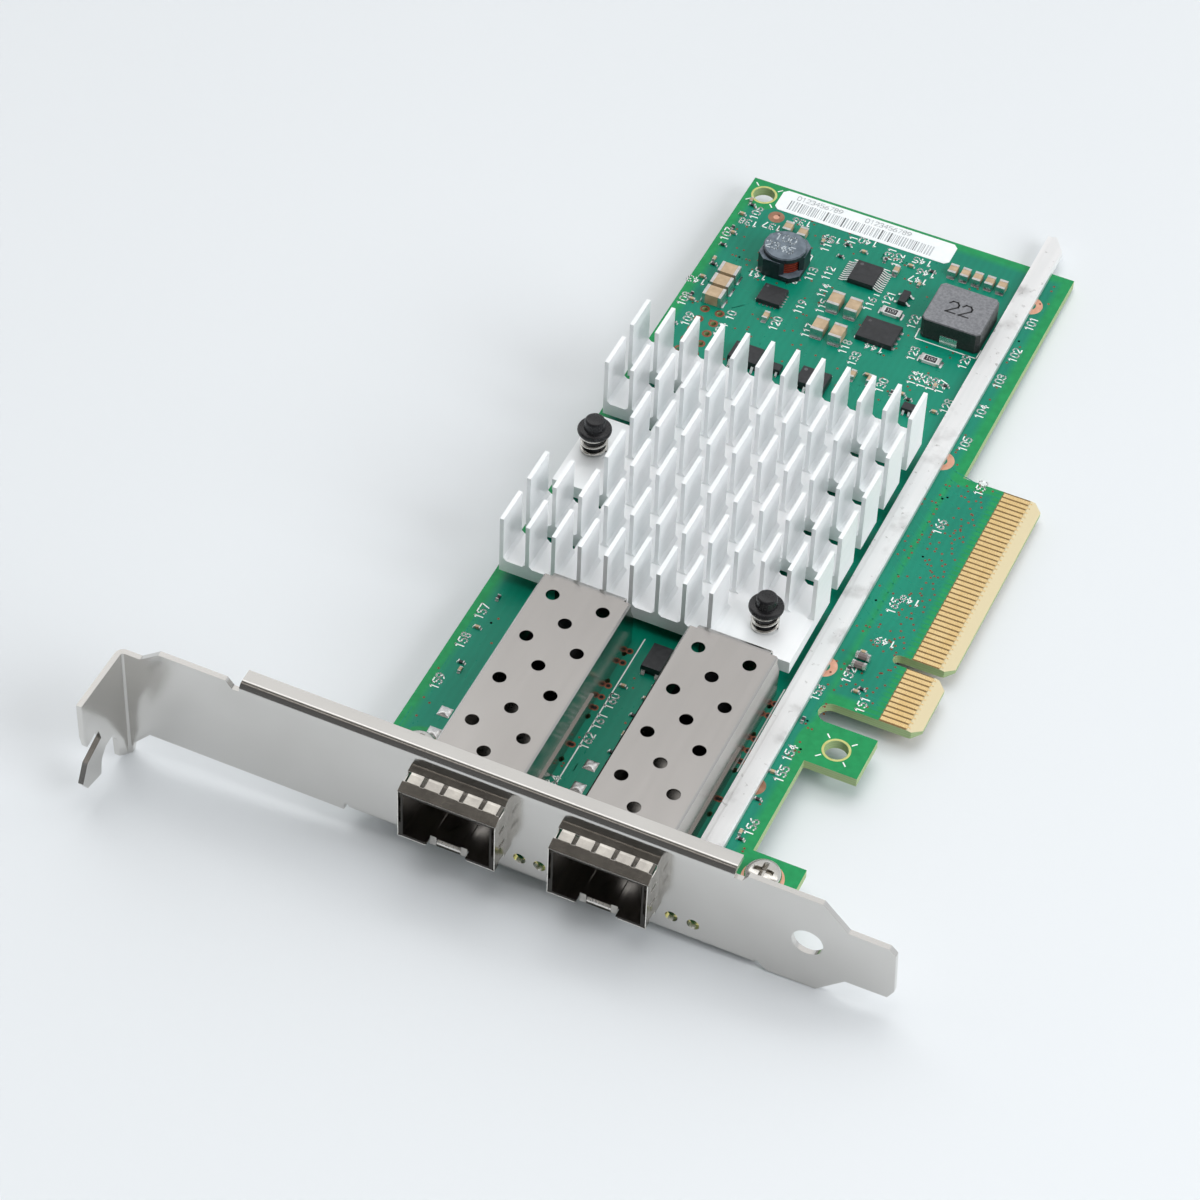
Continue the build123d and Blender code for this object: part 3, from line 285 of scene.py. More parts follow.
# Plated vias: copper-red dots, dense between the bar and the contacts and
# loose over the rest of the component side.
spots = [ends, fan]
for west, east, south, north, count in (
    (-16.6, -8.5, -11.0, 38.0, 110),
    (-16.0, -13.9, -30.0, -12.5, 14),
    (-67.0, -24.0, 42.0, 84.0, 190),
    (-16.6, -14.8, 40.0, 86.0, 16),
    (-68.0, -60.0, -50.0, -13.0, 20),
    (-44.0, -36.4, -50.0, -13.0, 22),
    (-16.4, -14.0, -52.0, -32.0, 10),
):
    free = np.stack([chance.uniform(west, east, count), chance.uniform(south, north, count)], 1)
    spots.append(np.round(free / 0.6) * 0.6)
spots = np.concatenate(spots)
surface("via_rims", *discs(spots, 0.20, face + 0.010, 8), red_copper)
surface("via_cores", *discs(spots, 0.10, face + 0.014, 6), via_core)

# Bare copper lands: rings round the bracket screws, discs under the bar's
# screws and the placement mark near the far corner.
screws = [(-10.0, -46.4), (-63.5, -46.4)]
bar_fixings = [(-18.65, y) for y in (80.3, 41.5, -5.6, -31.0)]
surface("screw_lands", *rings(screws, 1.6, 3.1, face + 0.012, 40), bare_copper)
beside_bar = [(x + 1.05, y - 0.35) for x, y in bar_fixings[:3]]
surface("bar_lands", *rings(beside_bar, 1.0, 2.1, face + 0.008, 40), bare_copper)
old_copper = finish("old_copper", (0.26, 0.13, 0.075), (0.40, 0.21, 0.13), 0.45, 0.3, 900)
surface("stained_land", *rings([(-17.7, -31.4)], 0.8, 1.7, face + 0.008, 40), old_copper)
surface("placement_mark", *discs([(-62.0, 81.1)], 1.35, face + 0.010, 32), old_copper)
tin = finish("solder", (0.62, 0.62, 0.62), (0.74, 0.74, 0.73), 0.3, 1.0, 700)
surface("mark_centre", *discs([(-62.0, 81.1)], 0.5, face + 0.014, 24), bare_copper)
laminate = finish("bare_laminate", (0.50, 0.50, 0.16), (0.60, 0.60, 0.24), 0.6, 0.0, 900)
board_holes = [(-65.9, 85.2), (-9.7, -20.1)]
surface("hole_margins", *rings(board_holes, 1.78, 2.15, face + 0.008, 40), laminate)

# Ten plated holes for a header that isn't fitted.
header = [(-62.4 + 1.27 * i, 50.9 + 2.54 * j) for i in (-1, 1) for j in (-2, -1, 0, 1, 2)]
surface("header_rings", *rings(header, 0.47, 0.80, face + 0.012, 24), red_copper)
surface("header_rings_below", *rings(header, 0.80, 0.47, -face - 0.012, 24), red_copper)

# Solder side: the vias come through, and the cages' tails and the bar's screws
# stand in copper rings.
centres = [-51.7, -28.6]  # middle lines of the two cages
surface("via_rims_below", *below(*discs(spots, 0.20, face + 0.010, 8)), red_copper)
surface("via_cores_below", *below(*discs(spots, 0.10, face + 0.014, 6)), via_core)
flat = strokes(np.concatenate(lines[:5]), 0.17, face + 0.006)
surface("copper_tracks_below", *below(*flat), track)
pressed = [(c + s * 7.15, y) for c in centres for s in (-1, 1) for y in (-30.0, -39.0, -48.0)]
pressed += [(c + s * 6.85, y) for c in centres for s in (-1, 1) for y in (-16.6, -22.6)]
surface("tail_rings_below", *below(*rings(pressed, 0.5, 0.85, face + 0.012, 20)), bare_copper)
surface("bar_lands_below", *below(*rings(bar_fixings, 1.2, 2.3, face + 0.008, 40)), bare_copper)

# Small plated holes in rows beside the cages.
beside = [(x, y) for x in (-44.2, -21.1) for y in (-15.9, -18.4, -23.4, -25.8, -28.1, -35.9)]
surface("plated_rings", *rings(beside, 0.32, 0.58, face + 0.012, 20), red_copper)
# A near-black disc in each ring stands for the open hole: painted shade.
dark = finish("painted_hole_shade", (0.004, 0.010, 0.008), (0.010, 0.018, 0.014), 0.8)
surface("plated_holes", *discs(beside, 0.34, face + 0.010, 20), dark)

# White legend ink: outlines round the inductors, ticks at the holes and plain
# numbers beside the parts, about 1.2 mm high.
ink = finish("legend_ink", (0.84, 0.88, 0.85), (0.92, 0.94, 0.92), 0.55, 0.0, 1500)
shapes = {
    "0": ((0, 0.2, 0, 0.8, 0.15, 1, 0.45, 1, 0.6, 0.8, 0.6, 0.2, 0.45, 0, 0.15, 0, 0, 0.2),),
    "1": ((0.1, 0.8, 0.32, 1, 0.32, 0),),
    "2": ((0, 0.8, 0.15, 1, 0.45, 1, 0.6, 0.8, 0.6, 0.6, 0, 0, 0.6, 0),),
    "3": (
        (0, 0.9, 0.15, 1, 0.45, 1, 0.6, 0.8, 0.45, 0.55, 0.2, 0.55),
        (0.45, 0.55, 0.6, 0.3, 0.6, 0.2, 0.45, 0, 0.15, 0, 0, 0.1),
    ),
    "4": ((0.45, 0, 0.45, 1, 0, 0.35, 0.62, 0.35),),
    "5": ((0.6, 1, 0, 1, 0, 0.55, 0.45, 0.6, 0.6, 0.4, 0.6, 0.2, 0.45, 0, 0.15, 0, 0, 0.12),),
    "6": (
        (0.5, 1, 0.2, 0.8, 0, 0.4, 0, 0.2, 0.15, 0,
         0.45, 0, 0.6, 0.2, 0.6, 0.4, 0.45, 0.55, 0.1, 0.5),
    ),
    "7": ((0, 1, 0.6, 1, 0.2, 0),),
    "8": (
        (0.15, 0.55, 0, 0.78, 0.15, 1, 0.45, 1, 0.6, 0.78, 0.45, 0.55),
        (0.45, 0.55, 0.15, 0.55, 0, 0.28, 0.15, 0, 0.45, 0, 0.6, 0.28, 0.45, 0.55),
    ),
    "9": (
        (0.1, 0, 0.4, 0.2, 0.6, 0.6, 0.6, 0.8, 0.45, 1,
         0.15, 1, 0, 0.8, 0, 0.6, 0.15, 0.45, 0.5, 0.5),
    ),
}


def written(number, x, y, height, turn):
    """Strokes of a plain number that starts at x, y and runs in the direction turn, in degrees."""
    runs = []
    for place_in_row, digit in enumerate(str(number)):
        for path in shapes[digit]:
            corner = np.array(path).reshape(-1, 2) + (0.85 * place_in_row, 0)
            runs.append(np.stack([corner[:-1], corner[1:]], 1))
    runs = np.concatenate(runs) * height
    c, s = math.cos(math.radians(turn)), math.sin(math.radians(turn))
    return runs @ np.array([[c, s], [-s, c]]) + (x, y)


legend = []
number = 101
for x, y, turn in (
    (-15.2, 74.5, 90), (-15.0, 66.6, 90), (-15.1, 60.0, 90), (-15.2, 52.4, 90), (-14.9, 44.6, 90),
    (-64.7, 79.1, 90), (-67.0, 72.3, 90), (-67.0, 55.2, 90), (-64.6, 51.2, 90), (-51.4, 77.1, 90),
    (-48.2, 79.5, 90), (-48.7, 71.0, 90), (-51.1, 69.6, 90), (-47.8, 66.9, 90), (-46.6, 63.4, 90),
    (-40.0, 67.3, 90), (-46.5, 57.2, 90), (-39.8, 56.4, 90), (-49.7, 61.7, 90), (-51.7, 56.4, 90),
    (-37.8, 69.9, 90), (-32.2, 66.6, 90), (-29.6, 59.8, 90), (-27.5, 54.7, 90), (-25.9, 54.7, 90),
    (-24.4, 54.7, 90), (-22.9, 54.8, 90), (-20.5, 51.1, 90), (-21.6, 61.6, 90), (-31.4, 50.9, 90),
    (-41.5, 79.6, 90), (-39.8, 78.9, 90), (-37.5, 54.6, 90), (-59.0, 51.2, 90), (-66.9, 46.6, 90),
    (-56.3, 82.4, 180), (-60.3, 79.3, 180), (-64.1, 78.5, 180), (-50.4, 80.9, 180), (-44.8, 82.8, 180),
    (-57.8, 67.5, 180), (-61.2, 58.9, 180), (-66.1, 62.1, 180), (-34.7, 60.3, 180), (-35.2, 82.4, 180),
    (-33.7, 80.1, 180), (-34.3, 78.0, 180), (-9.5, 12.3, 180), (-9.7, 3.0, 180), (-9.3, 36.8, 90),
    (-9.0, -11.9, 90), (-13.0, -7.4, 90), (-15.8, -12.6, 90), (-14.9, -25.0, 90), (-14.4, -29.2, 90),
    (-14.4, -40.1, 90), (-66.4, -19.8, 90), (-66.4, -26.2, 90), (-66.2, -35.0, 90), (-41.9, -27.4, 90),
    (-41.9, -31.6, 90), (-41.9, -35.8, 90), (-37.2, -20.9, 90), (-43.0, -45.2, 90), (-12.2, 8.2, 90),
    (-12.0, 26.4, 90),
):
    legend.append(written(number, x, y, 1.3, turn))
    number += 1
legend.append(written(10, -58.8, 55.5, 1.3, 90))
boxes = [
    (-60.1, 67.9, -53.0, 67.8), (-53.0, 67.8, -53.1, 75.2),
    (-53.1, 75.2, -53.9, 75.2), (-60.1, 67.9, -60.1, 68.6),
    (-31.3, 64.7, -20.9, 64.6), (-20.9, 64.6, -20.8, 66.6),
    (-31.3, 64.7, -31.4, 67.0), (-31.4, 75.3, -31.4, 72.4),
    (-43.15, -12.8, -43.15, -43.6), (-60.1, -12.8, -60.1, -43.6), (-20.9, -12.8, -20.9, -30.0),
    (-46.6, 77.4, -40.6, 77.4), (-40.8, 71.2, -40.0, 71.2),
]
for x, y in board_holes:
    for turn in (45, 135, 225, 315):
        c, s = math.cos(math.radians(turn)), math.sin(math.radians(turn))
        boxes.append((x + 2.5 * c, y + 2.5 * s, x + 3.2 * c, y + 3.2 * s))
legend.append(np.array(boxes, float).reshape(-1, 2, 2))
surface("legend", *strokes(np.concatenate(legend), 0.21, face + 0.016), ink)

# Gold contacts, 0.7 mm wide at 1 mm pitch on both faces, with the thin
# plating tails that reach on to the bevel.
gold = finish("contact_gold", (0.85, 0.60, 0.27), (0.93, 0.70, 0.36), 0.3, 0.85, 700, (1, 0.3, 1))
dress("edge_contacts", gold)
tails = [np.stack([np.full(contact_count, x), contacts_y], 1) for x in (-2.1, -1.75)]
surface("plating_tails", *strokes(np.stack(tails, 1), 0.22, face + 0.004), gold)

# Small parts, soldered to the board.
# Multilayer chip capacitors: tan ceramic between tinned ends, soldered to
# lands; the solder climbs each end in a concave fillet.
ceramic = finish("tan_ceramic", (0.43, 0.31, 0.19), (0.56, 0.42, 0.27), 0.38, 0.0, 900)
ends_tin = finish("chip_ends", (0.60, 0.59, 0.58), (0.76, 0.75, 0.74), 0.32, 0.9, 1100)
black_chip = finish("resistor_face", (0.018, 0.018, 0.020), (0.035, 0.035, 0.038), 0.4, 0.0, 900)
for kind in ("bulk", "medium", "small", "tiny"):
    dress(f"{kind}_capacitors", ceramic)
    dress(f"{kind}_capacitor_ends", ends_tin)
dress("underside_capacitors", ceramic)
alumina = finish("white_alumina", (0.66, 0.68, 0.67), (0.76, 0.77, 0.76), 0.4, 0.0, 900)
dress("sense_resistors", alumina)
dress("sense_resistor_ends", ends_tin)


def fillets(places, ways, width, run, rise, steps=5):
    """Concave solder fillets: on a quarter curve, out = run (1 - sin v), up = rise (1 - cos v)."""
    v = np.linspace(0, np.pi / 2, steps)
    across = np.array([-0.5, -0.42, 0.42, 0.5])
    swell = np.array([0.55, 1.0, 1.0, 0.55])
    out = (run * (1 - np.sin(v)))[None, :] * swell[:, None]
    up = np.broadcast_to((rise * (1 - np.cos(v)))[None, :], out.shape)
    wide = np.broadcast_to((across * width)[:, None], out.shape)
    out, up, wide = out.ravel(), up.ravel(), wide.ravel()
    way = np.asarray(ways, float)[:, None, :]
    cross = np.stack([-way[..., 1], way[..., 0]], -1)
    flat = np.asarray(places)[:, None, :] + way * out[None, :, None] + cross * wide[None, :, None]
    height = np.broadcast_to(up[None, :, None] + face + 0.005, flat.shape[:2] + (1,))
    points = np.concatenate([flat, height], 2) * mm
    i, j = np.meshgrid(np.arange(3), np.arange(steps - 1), indexing="ij")
    corner = i * steps + j
    quad = np.stack([corner, corner + steps, corner + steps + 1, corner + 1], -1).reshape(-1, 4)
    faces = (quad[None] + 4 * steps * np.arange(len(places))[:, None, None]).reshape(-1, 4)
    return points.reshape(-1, 3), faces


def blocks(places, ways, length, width, base, height, round_by=0.04):
    """Blocks with a bevelled top: corners at the foot, near the top and, drawn in, on it."""
    way = np.asarray(ways, float)[:, None, :]
    cross = np.stack([-way[..., 1], way[..., 0]], -1)
    sx = np.array([-1, 1, 1, -1]) / 2
    sy = np.array([-1, -1, 1, 1]) / 2
    levels = ((0, base), (0, height - round_by), (round_by, height))
    layers = []
    for r, z in levels:
        along = way * (sx * (length - 2 * r))[None, :, None]
        aside = cross * (sy * (width - 2 * r))[None, :, None]
        flat = np.asarray(places)[:, None, :] + along + aside
        layers.append(np.concatenate([flat, np.full(flat.shape[:2] + (1,), z + face)], 2))
    points = np.concatenate(layers, 1) * mm
    k = np.arange(4)
    ring = np.stack([k, (k + 1) % 4, (k + 1) % 4 + 4, k + 4], 1)
    quad = np.concatenate([ring, ring + 4, [[8, 9, 10, 11], [3, 2, 1, 0]]])
    faces = (quad[None] + 12 * np.arange(len(points))[:, None, None]).reshape(-1, 4)
    return points.reshape(-1, 3), faces


bulk = ([(-63.2, 64.4), (-63.2, 61.4), (-63.2, 58.4)], 3.2, 2.4, 2.0, (1, 0))
medium = ([(-45.4, 66.0), (-42.3, 65.8), (-45.4, 59.4), (-42.3, 59.2)], 3.2, 2.1, 1.7, (0, 1))
row_of_five = [(-31.3 + 2.1 * k, 81.4) for k in range(5)]
small = (row_of_five + [(-59.0, 78.9), (-56.4, 78.7)], 2.1, 1.4, 1.2, (0, 1))
tiny = ([(-54.2, 58.4), (-39.6, 77.6), (-36.8, 52.2), (-33.9, 52.4)], 1.7, 0.9, 0.8, (0, 1))
bridge = ([(-36.7, 68.2), (-27.1, 60.8)], 3.3, 1.6, 0.6, (1, 0))
shown = []
for places, length, width, height, way in (bulk, medium, small, tiny, bridge):
    for s in (-1, 1):
        at = np.array(places) + np.array(way) * s * length / 2
        ways = [np.array(way) * s] * len(places)
        shown.append(fillets(at, ways, width * 0.96, 0.42, height * 0.55))
surface("chip_fillets", *joined(*shown), tin, True, 60)

# Nine capacitors under the controller: tinned ends on solder side lands.
under = [(5.0 * i - 45.8, 5.0 * j + 4.5) for i in (-1, 0, 1) for j in (-1, 0, 1)]
tips = [(x + s * 0.66, y) for x, y in under for s in (-1, 1)]
pads = [(x + s * 0.86, y) for x, y in under for s in (-1, 1)]
east = [(1, 0)] * len(tips)
surface("chip_ends_below", *below(*blocks(tips, east, 0.36, 0.86, 0.0, 0.83)), ends_tin)
surface("chip_lands_below", *below(*blocks(pads, east, 0.75, 0.95, 0.0, 0.05, 0.02)), tin)

# Black glaze on the two sense resistors leaves their white edges bare.
glaze = blocks(bridge[0], [bridge[-1]] * 2, 2.0, 1.15, 0.6, 0.63, 0.02)
surface("resistor_glaze", *glaze, black_chip)
pale_ink = finish("resistor_ink", (0.50, 0.52, 0.52), (0.60, 0.62, 0.62), 0.5, 0.0, 900)
codes = [written(100, x - 0.72, y - 0.3, 0.62, 0) for x, y in bridge[0]]
surface("resistor_codes", *strokes(np.concatenate(codes), 0.10, face + 0.64), pale_ink)

# The smallest chips, 1.0 by 0.5 mm, stand in ones and twos along both edges
# and round the regulators. Each has a body, two ends and two fillets.
spots = np.array([
    (-67.2, 83.0), (-66.6, 81.9), (-67.2, 79.2), (-67.3, 75.4), (-66.8, 74.4), (-67.1, 71.0),
    (-67.0, 67.3), (-66.6, 66.1), (-67.0, 62.6), (-66.9, 58.0), (-66.4, 57.0), (-66.8, 50.8),
    (-52.9, 79.0), (-49.0, 80.0), (-46.0, 79.6), (-42.2, 79.4), (-38.0, 79.9), (-34.4, 80.2),
    (-35.2, 76.4), (-49.0, 76.9), (-34.8, 53.4), (-29.9, 51.4), (-28.4, 51.9), (-27.0, 51.2),
    (-24.4, 55.9), (-22.9, 56.6), (-22.4, 50.4), (-16.2, -17.0), (-16.3, -28.0), (-16.2, -33.6),
    (-16.0, -40.2), (-15.5, -41.4), (-15.8, -45.3), (-66.0, -14.9), (-66.2, -21.6), (-65.3, -28.8),
    (-64.8, -30.2), (-10.8, -7.8), (-11.4, -8.6), (-14.0, -4.9), (-38.2, -23.4), (-38.5, -27.1),
    (-38.3, -31.0), (-38.4, -34.8), (-42.2, -22.6), (-37.8, -44.8), (-13.3, -1.0),
])
way = np.where((np.arange(len(spots)) % 3 == 0)[:, None], (0.0, 1.0), (1.0, 0.0))
tan = np.arange(len(spots)) % 2 == 0
surface("tiny_chips_tan", *blocks(spots[tan], way[tan], 0.62, 0.46, 0.02, 0.46), ceramic)
surface("tiny_chips_black", *blocks(spots[~tan], way[~tan], 0.62, 0.46, 0.02, 0.34), black_chip)
caps = [blocks(spots + way * s * 0.4, way, 0.22, 0.5, 0.0, 0.42) for s in (-1, 1)]
feet = [fillets(spots + way * s * 0.51, way * s, 0.5, 0.2, 0.26) for s in (-1, 1)]
surface("tiny_chip_ends", *joined(*caps, *feet), ends_tin)

# Moulded packages: black epoxy with a matt skin; leads of tinned copper.
dark_grey = (0.014, 0.015, 0.017), (0.026, 0.027, 0.030)
epoxy = finish("moulded_epoxy", *dark_grey, 0.42, 0.0, 1300, relief=4e-6)
lead_tin = finish("lead_tin", (0.72, 0.72, 0.71), (0.86, 0.86, 0.85), 0.24, 0.85, 1500)
for node, metal in (
    ("controller_body", "controller_leads"),
    ("memory_bodies", "memory_leads"),
    ("logic_bodies", "logic_leads"),
    ("transistor_body", "transistor_leads"),
    ("oscillator_body", "oscillator_leads"),
    ("regulator_body", "regulator_pads"),
    ("power_stage_body", "power_stage_pads"),
):
    dress(node, epoxy)
    dress(metal, lead_tin)
spot_ink = finish("index_mark", (0.07, 0.07, 0.075), (0.11, 0.11, 0.115), 0.5)
for name, x, y, z, r in (
    ("controller", -44.9, 75.9, 1.05, 0.3),
    ("regulator", -56.5, 64.5, 0.9, 0.22),
    ("power_stage", -38.8, 64.3, 1.0, 0.28),
    ("memory_left", -55.0, 49.4, 1.6, 0.3),
    ("memory_right", -43.4, 48.9, 1.6, 0.3),
):
    surface(f"index_{name}", *discs([(x, y)], r, face + z + 0.004, 20), spot_ink)

# Controller under the heat sink: green laminate, moulded lid, solder balls
# and the grey pad that carries its heat up.
package = finish("package_laminate", (0.01, 0.09, 0.05), (0.02, 0.13, 0.07), 0.4, 0.0, 500)
dress("controller_laminate", package)
dress("controller_lid", epoxy)
dress("solder_balls", tin)
dress("thermal_pad", finish("thermal_gum", (0.25, 0.27, 0.30), (0.33, 0.35, 0.38), 0.8, 0.0, 500))

# Glass diodes beside the key notch: tinned caps round a pink-grey sleeve.
sleeve = finish("diode_glass", (0.16, 0.13, 0.13), (0.24, 0.20, 0.19), 0.12, 0.0, 900)
dress("diode_sleeves", sleeve)
dress("diode_caps", lead_tin)

# Round inductor: blue-black ferrite with enamelled copper round its drum; faces that look up get a
# painted sheen.
ferrite, tree, body, place = start("drum_ferrite", Roughness=0.4)
speck = noise(tree, place, 900, 3.0)
facing = add(tree, "ShaderNodeNewGeometry").outputs["Normal"]
up = remap(tree, add(tree, "ShaderNodeSeparateXYZ", {0: facing}).outputs[2], 0.5, 0.9, 0, 1)
grain = remap(tree, speck, 0.35, 0.65, 0, 1)
# Lighter blue-grey where the faces look up: painted sheen.
sheen_top = blend(tree, grain, (0.10, 0.13, 0.16), (0.17, 0.21, 0.25))
black = blend(tree, grain, (0.008, 0.010, 0.014), (0.020, 0.024, 0.032))
tree.links.new(blend(tree, up, black, sheen_top), body.inputs["Base Color"])
bump(tree, body, speck, 6e-6)
dress("drum_core", ferrite)
dress("drum_ring", ferrite)
enamel, tree, body, place = start("winding_enamel", Metallic=0.6, Roughness=0.3)
wound = {"Vector": place, "Scale": 700.0}
turns = add(tree, "ShaderNodeTexWave", wound, bands_direction="Z").outputs[0]
tone = blend(tree, turns, (0.16, 0.012, 0.008), (0.48, 0.07, 0.03))
tree.links.new(tone, body.inputs["Base Color"])
bump(tree, body, turns, 8e-5)
dress("drum_winding", enamel)
dress("drum_terminals", tin)
grey_ink = finish("faded_print", (0.42, 0.48, 0.52), (0.54, 0.60, 0.63), 0.5)
two_rows = np.concatenate([written(100, -58.6, 71.6, 1.5, 0), written(2345, -59.4, 69.3, 1.5, 0)])
surface("drum_number", *strokes(two_rows, 0.22, face + 4.5 + 0.006), grey_ink)

# Square inductor: pressed metal powder, lighter grey on faces that look up and near
# black on its sides, with a folded clip at each end.
powder, tree, body, place = start("pressed_powder")
speck = noise(tree, place, 2600, 2.0)
facing = add(tree, "ShaderNodeNewGeometry").outputs["Normal"]
up = remap(tree, add(tree, "ShaderNodeSeparateXYZ", {0: facing}).outputs[2], 0.5, 0.9, 0, 1)
grain = remap(tree, speck, 0.35, 0.65, 0, 1)
upper = blend(tree, grain, (0.165, 0.17, 0.185), (0.24, 0.245, 0.26))
sides = blend(tree, grain, (0.014, 0.018, 0.018), (0.030, 0.034, 0.034))
tree.links.new(blend(tree, up, sides, upper), body.inputs["Base Color"])
tree.links.new(remap(tree, noise(tree, place, 400), 0.3, 0.7, 0.38, 0.5), body.inputs["Roughness"])
bump(tree, body, speck, 1.5e-5)
dress("square_inductor", powder)
dress("square_inductor_terminals", lead_tin)
dark_ink = finish("dark_print", (0.010, 0.010, 0.011), (0.024, 0.024, 0.026), 0.6)
plain = written(22, -28.0, 68.6, 2.6, 0)
surface("square_number", *strokes(plain, 0.3, face + 4.0 + 0.006), dark_ink)

# Paper label along the far edge: bare white stock with plain bars of its own.
paper = finish("label_paper", (0.84, 0.88, 0.89), (0.90, 0.93, 0.94), 0.55, 0.0, 900)
dress("blank_label", paper)
print_ink = finish("label_print", (0.10, 0.11, 0.12), (0.17, 0.18, 0.19), 0.6)
thick = chance.choice([0.10, 0.16, 0.26], 64)
gap = chance.choice([0.14, 0.2, 0.3], 64)
left = -61.6 + np.cumsum(thick + gap) - thick
keep = left < -35.6
left, thick = left[keep], thick[keep]
bars = np.stack([np.stack([left + thick / 2, np.full(len(left), y)], 1) for y in (83.7, 85.8)], 1)
bar_marks = [strokes(bar, wide, face + 0.084) for bar, wide in zip(bars, thick)]
faint_ink = finish("faint_print", (0.42, 0.45, 0.47), (0.56, 0.59, 0.61), 0.6)
surface("label_bars", *joined(*bar_marks[::4]), print_ink)
surface("faint_bars", *joined(*[m for i, m in enumerate(bar_marks) if i % 4]), faint_ink)
counted = np.concatenate([written("0123456789", x, 86.4, 0.95, 0) for x in (-60.6, -48.6)])
surface("label_numbers", *strokes(counted, 0.13, face + 0.084), faint_ink)

# Status lamps behind the bracket's four holes: clear yellow-green resin. A low
# emission stands for the light that reaches its face from inside.
glow = {"Emission_Color": (0.75, 0.70, 0.34, 1), "Emission_Strength": 0.9}
resin = finish("lamp_resin", (0.72, 0.72, 0.20), (0.85, 0.84, 0.40), 0.2, 0.0, 700, **glow)
dress("status_lamps", resin)

# Transceiver cages: thin nickel-plated sheet, folded. A vented cover over a low
# base is pressed into the board, with a spring collar round each mouth. 14 mm
# wide inside.
plates = []
# The second copy, darker, dresses the bases inside the cages: painted shade.
for name, first, second, rough in (
    ("cage_nickel", (0.475, 0.455, 0.435), (0.53, 0.51, 0.49), 0.22),
    ("cage_nickel_shaded", (0.34, 0.32, 0.30), (0.42, 0.40, 0.37), 0.2),
):
    made, tree, body, place = start(name, Metallic=1.0)
    cloud = noise(tree, place, 70, 4.0, (1, 0.4, 1))
    drawn = noise(tree, place, 900, 2.0, (1, 0.05, 1))
    tone = blend(tree, remap(tree, cloud, 0.3, 0.7, 0, 1), first, second)
    # Faces that look forward at the mouth are painted near black: painted shade in the mouth
    facing = add(tree, "ShaderNodeNewGeometry").outputs["Normal"]
    ahead = calc(tree, "MULTIPLY", add(tree, "ShaderNodeSeparateXYZ", {0: facing}).outputs[1], -1.0)
    depth = add(tree, "ShaderNodeSeparateXYZ", {0: place}).outputs[1]
    mouth = remap(tree, depth, -60.1 * mm, -60.0 * mm, 1, 0)
    mouth_shade = calc(tree, "MULTIPLY", remap(tree, ahead, 0.8, 0.95, 0, 1), mouth)
    tree.links.new(blend(tree, mouth_shade, tone, (0.05, 0.047, 0.043)), body.inputs["Base Color"])
    matt = remap(tree, drawn, 0.3, 0.7, rough - 0.03, rough + 0.03)
    tree.links.new(matt, body.inputs["Roughness"])
    bump(tree, body, drawn, 2e-7)
    plates.append(made)
plate, shaded_plate = plates
warm_grey = (0.41, 0.39, 0.36), (0.55, 0.525, 0.48)
collar_plate = finish("collar_nickel", *warm_grey, 0.17, 1.0, 420, relief=8e-7, spread=0.03)
for index in (1, 2):
    dress(f"cage_cover_{index}", plate)
    dress(f"cage_base_{index}", shaded_plate)
    dress(f"cage_connector_{index}", epoxy)
dress("connector_contacts", gold)


def collar(centre):
    """Spring collar as four strips of flat faces between five rows, bracket to mouth.

    Each row is a rectangle round the cage; a strip's corner is the row's
    half-size times a share of the side. Fingers are parted by leaving faces out.
    """
    row_y = np.array([-57.13, -58.4, -58.75, -60.1, -61.6])
    half = np.array([7.45, 7.5, 7.5, 7.47, 7.55])
    high = np.array([11.36, 11.01, 10.97, 10.78, 10.0])
    low = np.array([0.1, 0.12, 0.15, 0.25, 0.5])
    middle, tall = (high + low) / 2, (high - low) / 2
    points, faces, shift = [], [], 0
    for side in ("top", "left", "right", "bottom"):
        if side == "top":
            cuts = [-7.5, -6.85, -4.85, -4.15, -1.85, -1.15, 1.15, 1.85, 4.15, 4.85, 6.85, 7.5]
            slots = [(-4.85, -4.15), (-1.85, -1.15), (1.15, 1.85), (4.15, 4.85)]
        elif side == "bottom":
            cuts = [-7.5, -6.85, -4.85, -4.15, -3.2, 3.2, 4.15, 4.85, 6.85, 7.5]
            slots = [(-4.85, -4.15), (-3.2, 3.2), (4.15, 4.85)]
        else:
            cuts = [-5.45, -4.7, -1.85, -1.3, 1.3, 1.85, 4.7, 5.45]
            slots = [(-1.85, -1.3), (1.3, 1.85)]
        reach = cuts[-1]
        share = np.array(cuts) / reach
        deep = np.broadcast_to(row_y[:, None], (5, len(share)))
        if side == "top":
            x, z = centre + half[:, None] * share, np.broadcast_to(high[:, None], deep.shape)
        elif side == "bottom":
            x, z = centre - half[:, None] * share, np.broadcast_to(low[:, None], deep.shape)
        else:
            turn = -1 if side == "left" else 1
            x = np.broadcast_to(centre + turn * half[:, None], deep.shape)
            z = middle[:, None] - turn * tall[:, None] * share
        i, k = np.meshgrid(np.arange(4), np.arange(len(share) - 1), indexing="ij")
        at = (np.array(cuts)[:-1] + np.array(cuts)[1:])[k] / 2
        keep = (i == 3) | (i == 0) | (np.abs(at) < reach - 0.6)
        for west, east in slots:
            keep &= (i == 0) | ((i == 3) & (east - west < 3)) | (at < west) | (at > east)
        n = len(share)
        quad = np.stack([i * n + k, (i + 1) * n + k, (i + 1) * n + k + 1, i * n + k + 1], -1)[keep]
        points.append(np.stack([x, deep, z], -1).reshape(-1, 3) * mm)
        faces.append(quad.reshape(-1, 4) + shift)
        shift += x.size
    points, found = np.unique(np.round(np.concatenate(points), 7), axis=0, return_inverse=True)
    return points, found.reshape(-1)[np.concatenate(faces)]
